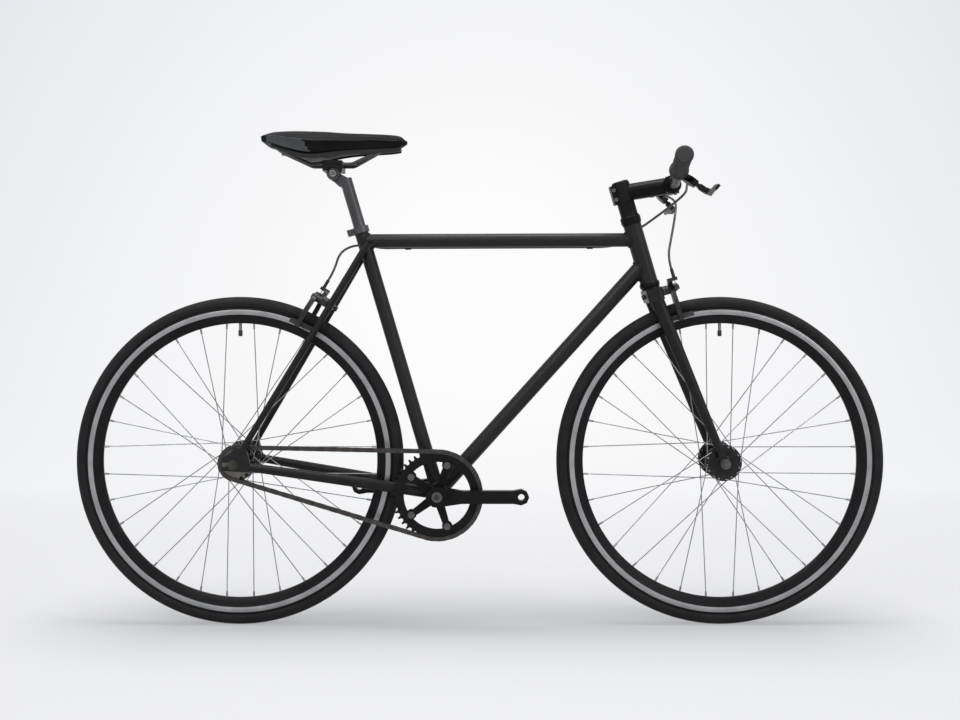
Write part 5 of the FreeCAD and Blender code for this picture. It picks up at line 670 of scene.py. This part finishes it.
weld("weld_top_head", (0.0, 0.0, 794.7), (1.0, 0.0, 0.00418), 14.3, *HEAD)
weld("weld_top_seat", (0.0, 0.0, 794.7), (-1.0, 0.0, -0.00418), 14.3, *SEAT)
weld("weld_down_head", (126.25, 0.0, 510.07), (426.27, 0.0, 472.13), 15.9, *HEAD)
weld("weld_down_bracket", (126.25, 0.0, 510.07), (-426.27, 0.0, -472.13), 15.9, *BRACKET)
weld("weld_seat_bracket", (-168.1, 0.0, 548.2), (0.2840, 0.0, -0.9588), 14.3, *BRACKET)


# Saddle: a padded cover with a crown, drawn-in sides, a painted highlight in lighter grey on the sides and
# stitched seams. Each station has its place from nose to tail, its share of the spread, a factor on its
# width, and how far top and base lie lower.
SADDLE_PIVOT = Vector((-302.876, 0.0, 931.262))
SADDLE_FRONT = 148.0
SADDLE_LENGTH = 287.0
SADDLE_TOP = 89.0
SADDLE_DEEP = 36.0
SADDLE_NOSE = 20.0
SADDLE_SPREAD = 52.0
SADDLE_STATIONS = [
    (0.00, 0.00, 0.50, 18.0, -8.0),
    (0.03, 0.00, 0.80, 10.5, -3.0),
    (0.10, 0.00, 0.95, 7.0, 0.0),
    (0.28, 0.02, 1.00, 4.5, 3.0),
    (0.45, 0.24, 1.00, 2.5, 7.0),
    (0.56, 0.46, 1.00, 0.5, 12.0),
    (0.66, 0.70, 1.00, 0.0, 16.0),
    (0.80, 0.95, 1.00, 0.0, 10.0),
    (0.93, 1.00, 1.00, 3.0, -2.0),
    (1.00, 0.88, 0.86, 8.5, -8.0),
]
SIDE_STEPS = 8
CROWN_STEPS = 40
SIDE_DRAWN = 0.88
SIDE_WAIST = 0.012
CHANNEL_DEPTH = 1.6
CHANNEL_WIDTH = 7.0
NOSE_PUSH = 4.5
TAIL_PUSH = -6.5
CAP_SHARES = (0.86, 0.6, 0.3)
# Where the painted highlight lies on the sides, by place along the saddle
HIGHLIGHT_START = 0.655
HIGHLIGHT_SLANT = 0.006
HIGHLIGHT_STOP = 0.95
STITCHED = (0.05, 0.97)
STITCH_SHARE = (0.14, 0.86)
STITCH_WIDTH = 0.45
STITCH_LIFT = 0.25


def smooth_between(rows, place):
    """A smooth line through the rows' values at a place given by their first value."""
    for index in range(len(rows) - 1):
        if place <= rows[index + 1][0]:
            break
    here, after = rows[index], rows[index + 1]
    before = rows[max(index - 1, 0)]
    beyond = rows[min(index + 2, len(rows) - 1)]
    gap = after[0] - here[0]
    share = (place - here[0]) / gap
    values = []
    for column in range(1, len(here)):
        rise_in = (after[column] - before[column]) / max(after[0] - before[0], 1e-6) * gap
        rise_out = (beyond[column] - here[column]) / max(beyond[0] - here[0], 1e-6) * gap
        square, cube = share**2, share**3
        values.append((2 * cube - 3 * square + 1) * here[column] + (cube - 2 * square + share) * rise_in
                      + (3 * square - 2 * cube) * after[column] + (cube - square) * rise_out)
    return values


def saddle_ring(place):
    """Points round one section of the cover, from the lower right edge over the crown to the lower left."""
    share, narrow, top_dip, base_dip = smooth_between(SADDLE_STATIONS, place)
    forward = SADDLE_FRONT - SADDLE_LENGTH * place
    half = (SADDLE_NOSE + SADDLE_SPREAD * share) * narrow
    top = SADDLE_TOP - top_dip
    base = SADDLE_TOP - SADDLE_DEEP - base_dip
    shoulder = top - min(0.5 * (top - base), 0.75 * half)
    drawn = half * SIDE_DRAWN
    points = []
    for step in range(SIDE_STEPS + 1):
        rise = step / SIDE_STEPS
        waist = half * SIDE_WAIST * math.sin(math.pi * rise)
        points.append((-(drawn + (half - drawn) * rise) + waist, base + (shoulder - base) * rise))
    bow = (half * half + (top - shoulder) ** 2) / (2 * (top - shoulder))
    for step in range(1, CROWN_STEPS):
        turn = -1 + 2 * step / CROWN_STEPS
        side = half * math.sin(turn * math.pi / 2)
        lift = math.sqrt(max(bow * bow - side * side, 0.0)) - bow + top
        relief = CHANNEL_DEPTH * math.exp(-((side / CHANNEL_WIDTH) ** 2))
        relief *= min(max((place - 0.30) / 0.2, 0.0), 1.0)
        relief *= min(max((0.97 - place) / 0.12, 0.0), 1.0)
        points.append((side, lift - relief))
    for step in range(SIDE_STEPS + 1):
        rise = 1 - step / SIDE_STEPS
        waist = half * SIDE_WAIST * math.sin(math.pi * rise)
        points.append((drawn + (half - drawn) * rise - waist, base + (shoulder - base) * rise))
    return [SADDLE_PIVOT + Vector((forward, side, up)) for side, up in points]


def saddle_cover():
    """The closed cover: sections along the saddle, capped at the nose and the tail, with a painted highlight
    in lighter grey on its sides.
    """
    places = [0.0, 0.006, 0.014, 0.025]
    places += [0.04 + 0.94 * step / 56 for step in range(57)]
    places += [0.988, 0.995, 1.0]
    rings = [saddle_ring(place) for place in places]
    around = len(rings[0])
    middle_front = sum(rings[0], Vector()) / around
    middle_rear = sum(rings[-1], Vector()) / around
    caps = []
    for ring, middle, push in ((rings[0], middle_front, NOSE_PUSH), (rings[-1], middle_rear, TAIL_PUSH)):
        steps = []
        for share in CAP_SHARES:
            bulge = push * math.sqrt(1 - share * share)
            steps.append([middle + (point - middle) * share + Vector((bulge, 0.0, 0.0)) for point in ring])
        caps.append(steps)
    rows = list(reversed(caps[0])) + rings + caps[1]
    points = [point * MM for row in rows for point in row]
    faces = ring_faces(len(rows), around, False)
    looks = []
    lead = len(caps[0])
    for number in range(len(faces)):
        row, step = divmod(number, around)
        place = places[min(max(row - lead, 0), len(places) - 1)]
        height = min(step, around - 2 - step)
        on_side = 1 <= height <= SIDE_STEPS + 1
        # Side faces between these places take the lighter grey, a painted highlight
        looks.append(1 if on_side and HIGHLIGHT_START + HIGHLIGHT_SLANT * height < place < HIGHLIGHT_STOP else 0)
    faces.append(tuple(range(around)))
    last = (len(rows) - 1) * around
    faces.append(tuple(range(last, last + around)))
    looks += [0, 0]
    cover = mesh_piece("saddle_cover_padded", points, faces, [LEATHER, SIDE_HIGHLIGHT], looks)
    modifier = cover.modifiers.new("rounding", "SUBSURF")
    modifier.levels = 1
    modifier.render_levels = 1
    return cover, rings, places


cover, saddle_rings, saddle_places = saddle_cover()
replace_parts(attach(cover, "saddle"), "saddle_cover")


def capsule(points, faces, start, end, width, lift):
    """Adds one stitch, a short six-sided bar with pointed ends."""
    way = end - start
    beside = way.cross(lift).normalized() * width
    rise = lift.normalized() * width
    first = len(points)
    points.append(start)
    for share in (0.2, 0.8):
        for step in range(6):
            turn = math.pi * step / 3
            points.append(start + way * share + beside * math.cos(turn) + rise * math.sin(turn))
    points.append(end)
    for step in range(6):
        ahead = (step + 1) % 6
        faces.append((first, first + 1 + ahead, first + 1 + step))
        faces.append((first + 1 + step, first + 1 + ahead, first + 7 + ahead, first + 7 + step))
        faces.append((first + 13, first + 7 + step, first + 7 + ahead))


stitch_points = []
stitch_faces = []
for seam, side in ((SIDE_STEPS + 1, -1.0), (len(saddle_rings[0]) - SIDE_STEPS - 2, 1.0)):
    sections = zip(saddle_rings, saddle_places)
    rows = [ring[seam] for ring, place in sections if STITCHED[0] < place < STITCHED[1]]
    lift = Vector((0.0, side, 0.9)).normalized()
    raised = lift * STITCH_LIFT
    for start, end in zip(rows, rows[1:]):
        first, last = [(start + (end - start) * share + raised) * MM for share in STITCH_SHARE]
        capsule(stitch_points, stitch_faces, first, last, STITCH_WIDTH * MM, lift)
stitches = mesh_piece("saddle_stitching", stitch_points, stitch_faces, [THREAD])
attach(stitches, "saddle")


# The pivot bolt through the seatpost's head, seen on both sides of the clamp
BOLT_FOOT = 17.8
BOLT_HEAD = [(8.0, 0.0), (8.0, 3.6), (7.3, 4.6), (3.6, 4.6), (3.4, 2.4)]
for word, side in (("left", 1), ("right", -1)):
    foot = (SADDLE_PIVOT + Y_AXIS * side * BOLT_FOOT) * MM
    bolt = turned_piece("seatpost_pivot_bolt_" + word, foot, Y_AXIS * side, BOLT_HEAD, [VALVE], 36)
    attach(bolt, "seatpost")


# Pale studio floor and backdrop, soft lights and an even surrounding, in metres
WALL_DEPTH = 4.4
WALL_TOP = 12.0
CURVE_RADIUS = 2.2
CURVE_STEPS = 16
FLOOR_FRONT = -14.0
HALF_WIDTH = 16.0
# A painted pool of light in the glow: brightest about this height behind the bike, greyer farther off
BRIGHT_HEIGHT = 0.65
BRIGHT_RANGE = (0.65, 3.9)
BRIGHT_DEPTH_SCALE = 0.5
BRIGHT_TONE = (1.0, 0.997, 1.0)
FAR_TONE = (0.80, 0.815, 0.850)
PAPER_TONE = (0.62, 0.62, 0.635)
# A painted shadow on the floor: a soft darker band under the bike, its width, strength and ends
SHADOW_BAND_DEPTH = 0.20
SHADOW_BAND_SHARE = 0.36
SHADOW_BAND_ENDS = (0.62, 0.98)
NEAR_SHARE = 0.55
FAR_SHARE = 0.95
WORLD_LIGHT = 0.42


def background_rays(tree):
    """One where the background is seen by the camera, in a reflection or through glass, else zero."""
    path = tree.nodes.new("ShaderNodeLightPath")
    seen = math_node(tree, "MAXIMUM", path.outputs["Is Camera Ray"], path.outputs["Is Glossy Ray"])
    return math_node(tree, "MAXIMUM", seen, path.outputs["Is Transmission Ray"])


def stage_material():
    """Pale matte paper; its glow carries a painted pool of light, brightest behind the bike and greyer to its
    ends, and glow and paper carry a painted shadow in a soft band under the wheels.
    """
    material, tree, shader = start_material("studio_paper")
    tree.nodes.remove(shader)
    out = tree.nodes["Material Output"]
    paper = tree.nodes.new("ShaderNodeBsdfDiffuse")
    glow = tree.nodes.new("ShaderNodeEmission")
    mixer = tree.nodes.new("ShaderNodeMixShader")
    split = tree.nodes.new("ShaderNodeSeparateXYZ")
    tree.links.new(object_place(tree), split.inputs["Vector"])
    aside = math_node(tree, "ABSOLUTE", split.outputs["X"])
    depth = split.outputs["Y"]
    above = math_node(tree, "SUBTRACT", split.outputs["Z"], BRIGHT_HEIGHT)
    nearer = math_node(tree, "MULTIPLY", math_node(tree, "SUBTRACT", WALL_DEPTH, depth), BRIGHT_DEPTH_SCALE)
    across = math_node(tree, "ADD", squared(tree, aside), squared(tree, above))
    far = math_node(tree, "SQRT", math_node(tree, "ADD", across, squared(tree, nearer)))
    # Painted pool of light: the glow's colour goes from bright to far by distance from behind the bike
    tone = blended(tree, ranged(tree, far, *BRIGHT_RANGE, 0.0, 1.0), BRIGHT_TONE, FAR_TONE)
    # Painted shadow: glow and paper darker in a soft band along the floor under the bike
    reach = math_node(tree, "DIVIDE", depth, SHADOW_BAND_DEPTH)
    close = math_node(tree, "EXPONENT", math_node(tree, "MULTIPLY", squared(tree, reach), -1.0))
    inside = ranged(tree, aside, *SHADOW_BAND_ENDS, 1.0, 0.0)
    low = ranged(tree, split.outputs["Z"], 0.0, 0.02, 1.0, 0.0)
    band = math_node(tree, "MULTIPLY", math_node(tree, "MULTIPLY", close, inside), low)
    band = math_node(tree, "MULTIPLY", band, SHADOW_BAND_SHARE)
    tree.links.new(blended(tree, band, tone, (0.30, 0.31, 0.34)), glow.inputs["Color"])
    tree.links.new(blended(tree, band, PAPER_TONE, (0.20, 0.21, 0.23)), paper.inputs["Color"])
    beyond = ranged(tree, depth, 0.2, 1.6, NEAR_SHARE, FAR_SHARE)
    behind = ranged(tree, depth, -5.0, -2.0, FAR_SHARE, NEAR_SHARE)
    beside = ranged(tree, aside, 2.0, 5.0, NEAR_SHARE, FAR_SHARE)
    share = math_node(tree, "MAXIMUM", beyond, math_node(tree, "MAXIMUM", behind, beside))
    tree.links.new(math_node(tree, "MULTIPLY", background_rays(tree), share), mixer.inputs["Fac"])
    tree.links.new(paper.outputs[0], mixer.inputs[1])
    tree.links.new(glow.outputs[0], mixer.inputs[2])
    tree.links.new(mixer.outputs[0], out.inputs["Surface"])
    return material


def backdrop():
    """One sheet: floor, a wide curve and a wall behind the bike."""
    bend = WALL_DEPTH - CURVE_RADIUS
    line = [(FLOOR_FRONT, 0.0), (bend, 0.0)]
    for step in range(1, CURVE_STEPS + 1):
        turn = math.radians(90.0 * step / CURVE_STEPS)
        line.append((bend + CURVE_RADIUS * math.sin(turn), CURVE_RADIUS - CURVE_RADIUS * math.cos(turn)))
    line.append((WALL_DEPTH, WALL_TOP))
    points = []
    for depth, rise in line:
        points.append((-HALF_WIDTH, depth, rise))
        points.append((HALF_WIDTH, depth, rise))
    faces = [(2 * row, 2 * row + 1, 2 * row + 3, 2 * row + 2) for row in range(len(line) - 1)]
    mesh = bpy.data.meshes.new("studio_backdrop")
    mesh.from_pydata(points, [], faces)
    mesh.polygons.foreach_set("use_smooth", [True] * len(faces))
    mesh.materials.append(stage_material())
    sheet = link(bpy.data.objects.new("studio_backdrop", mesh))


def lamp(name, place, target, wide, deep, power):
    """A soft rectangular lamp turned to its target, with its power in watts."""
    data = bpy.data.lights.new(name, "AREA")
    data.shape = "RECTANGLE"
    data.size = wide
    data.size_y = deep
    data.energy = power
    item = link(bpy.data.objects.new(name, data))
    item.location = place
    item.rotation_euler = (Vector(target) - Vector(place)).to_track_quat("-Z", "Y").to_euler()


def studio_world():
    """An even light from all around, seen as pale as the far paper where the sheet ends."""
    world = bpy.data.worlds.new("studio")
    bpy.context.scene.world = world
    world.use_nodes = True
    tree = world.node_tree
    light = tree.nodes["Background"]
    light.inputs["Color"].default_value = (1.0, 1.0, 1.02, 1.0)
    light.inputs["Strength"].default_value = WORLD_LIGHT
    paper = tree.nodes.new("ShaderNodeBackground")
    paper.inputs["Color"].default_value = (0.78, 0.795, 0.83, 1.0)
    mixer = tree.nodes.new("ShaderNodeMixShader")
    tree.links.new(background_rays(tree), mixer.inputs["Fac"])
    tree.links.new(light.outputs[0], mixer.inputs[1])
    tree.links.new(paper.outputs[0], mixer.inputs[2])
    tree.links.new(mixer.outputs[0], tree.nodes["World Output"].inputs["Surface"])


backdrop()
lamp("key_lamp", (-1.4, -3.2, 3.6), (0.0, 0.0, 0.5), 3.0, 2.0, 70.0)
lamp("fill_lamp", (2.6, -2.6, 2.0), (0.0, 0.0, 0.5), 2.0, 2.0, 24.0)
lamp("top_lamp", (0.0, -0.1, 3.2), (0.0, 0.0, 0.0), 2.8, 0.8, 85.0)
studio_world()
bpy.context.scene.view_settings.view_transform = "Standard"
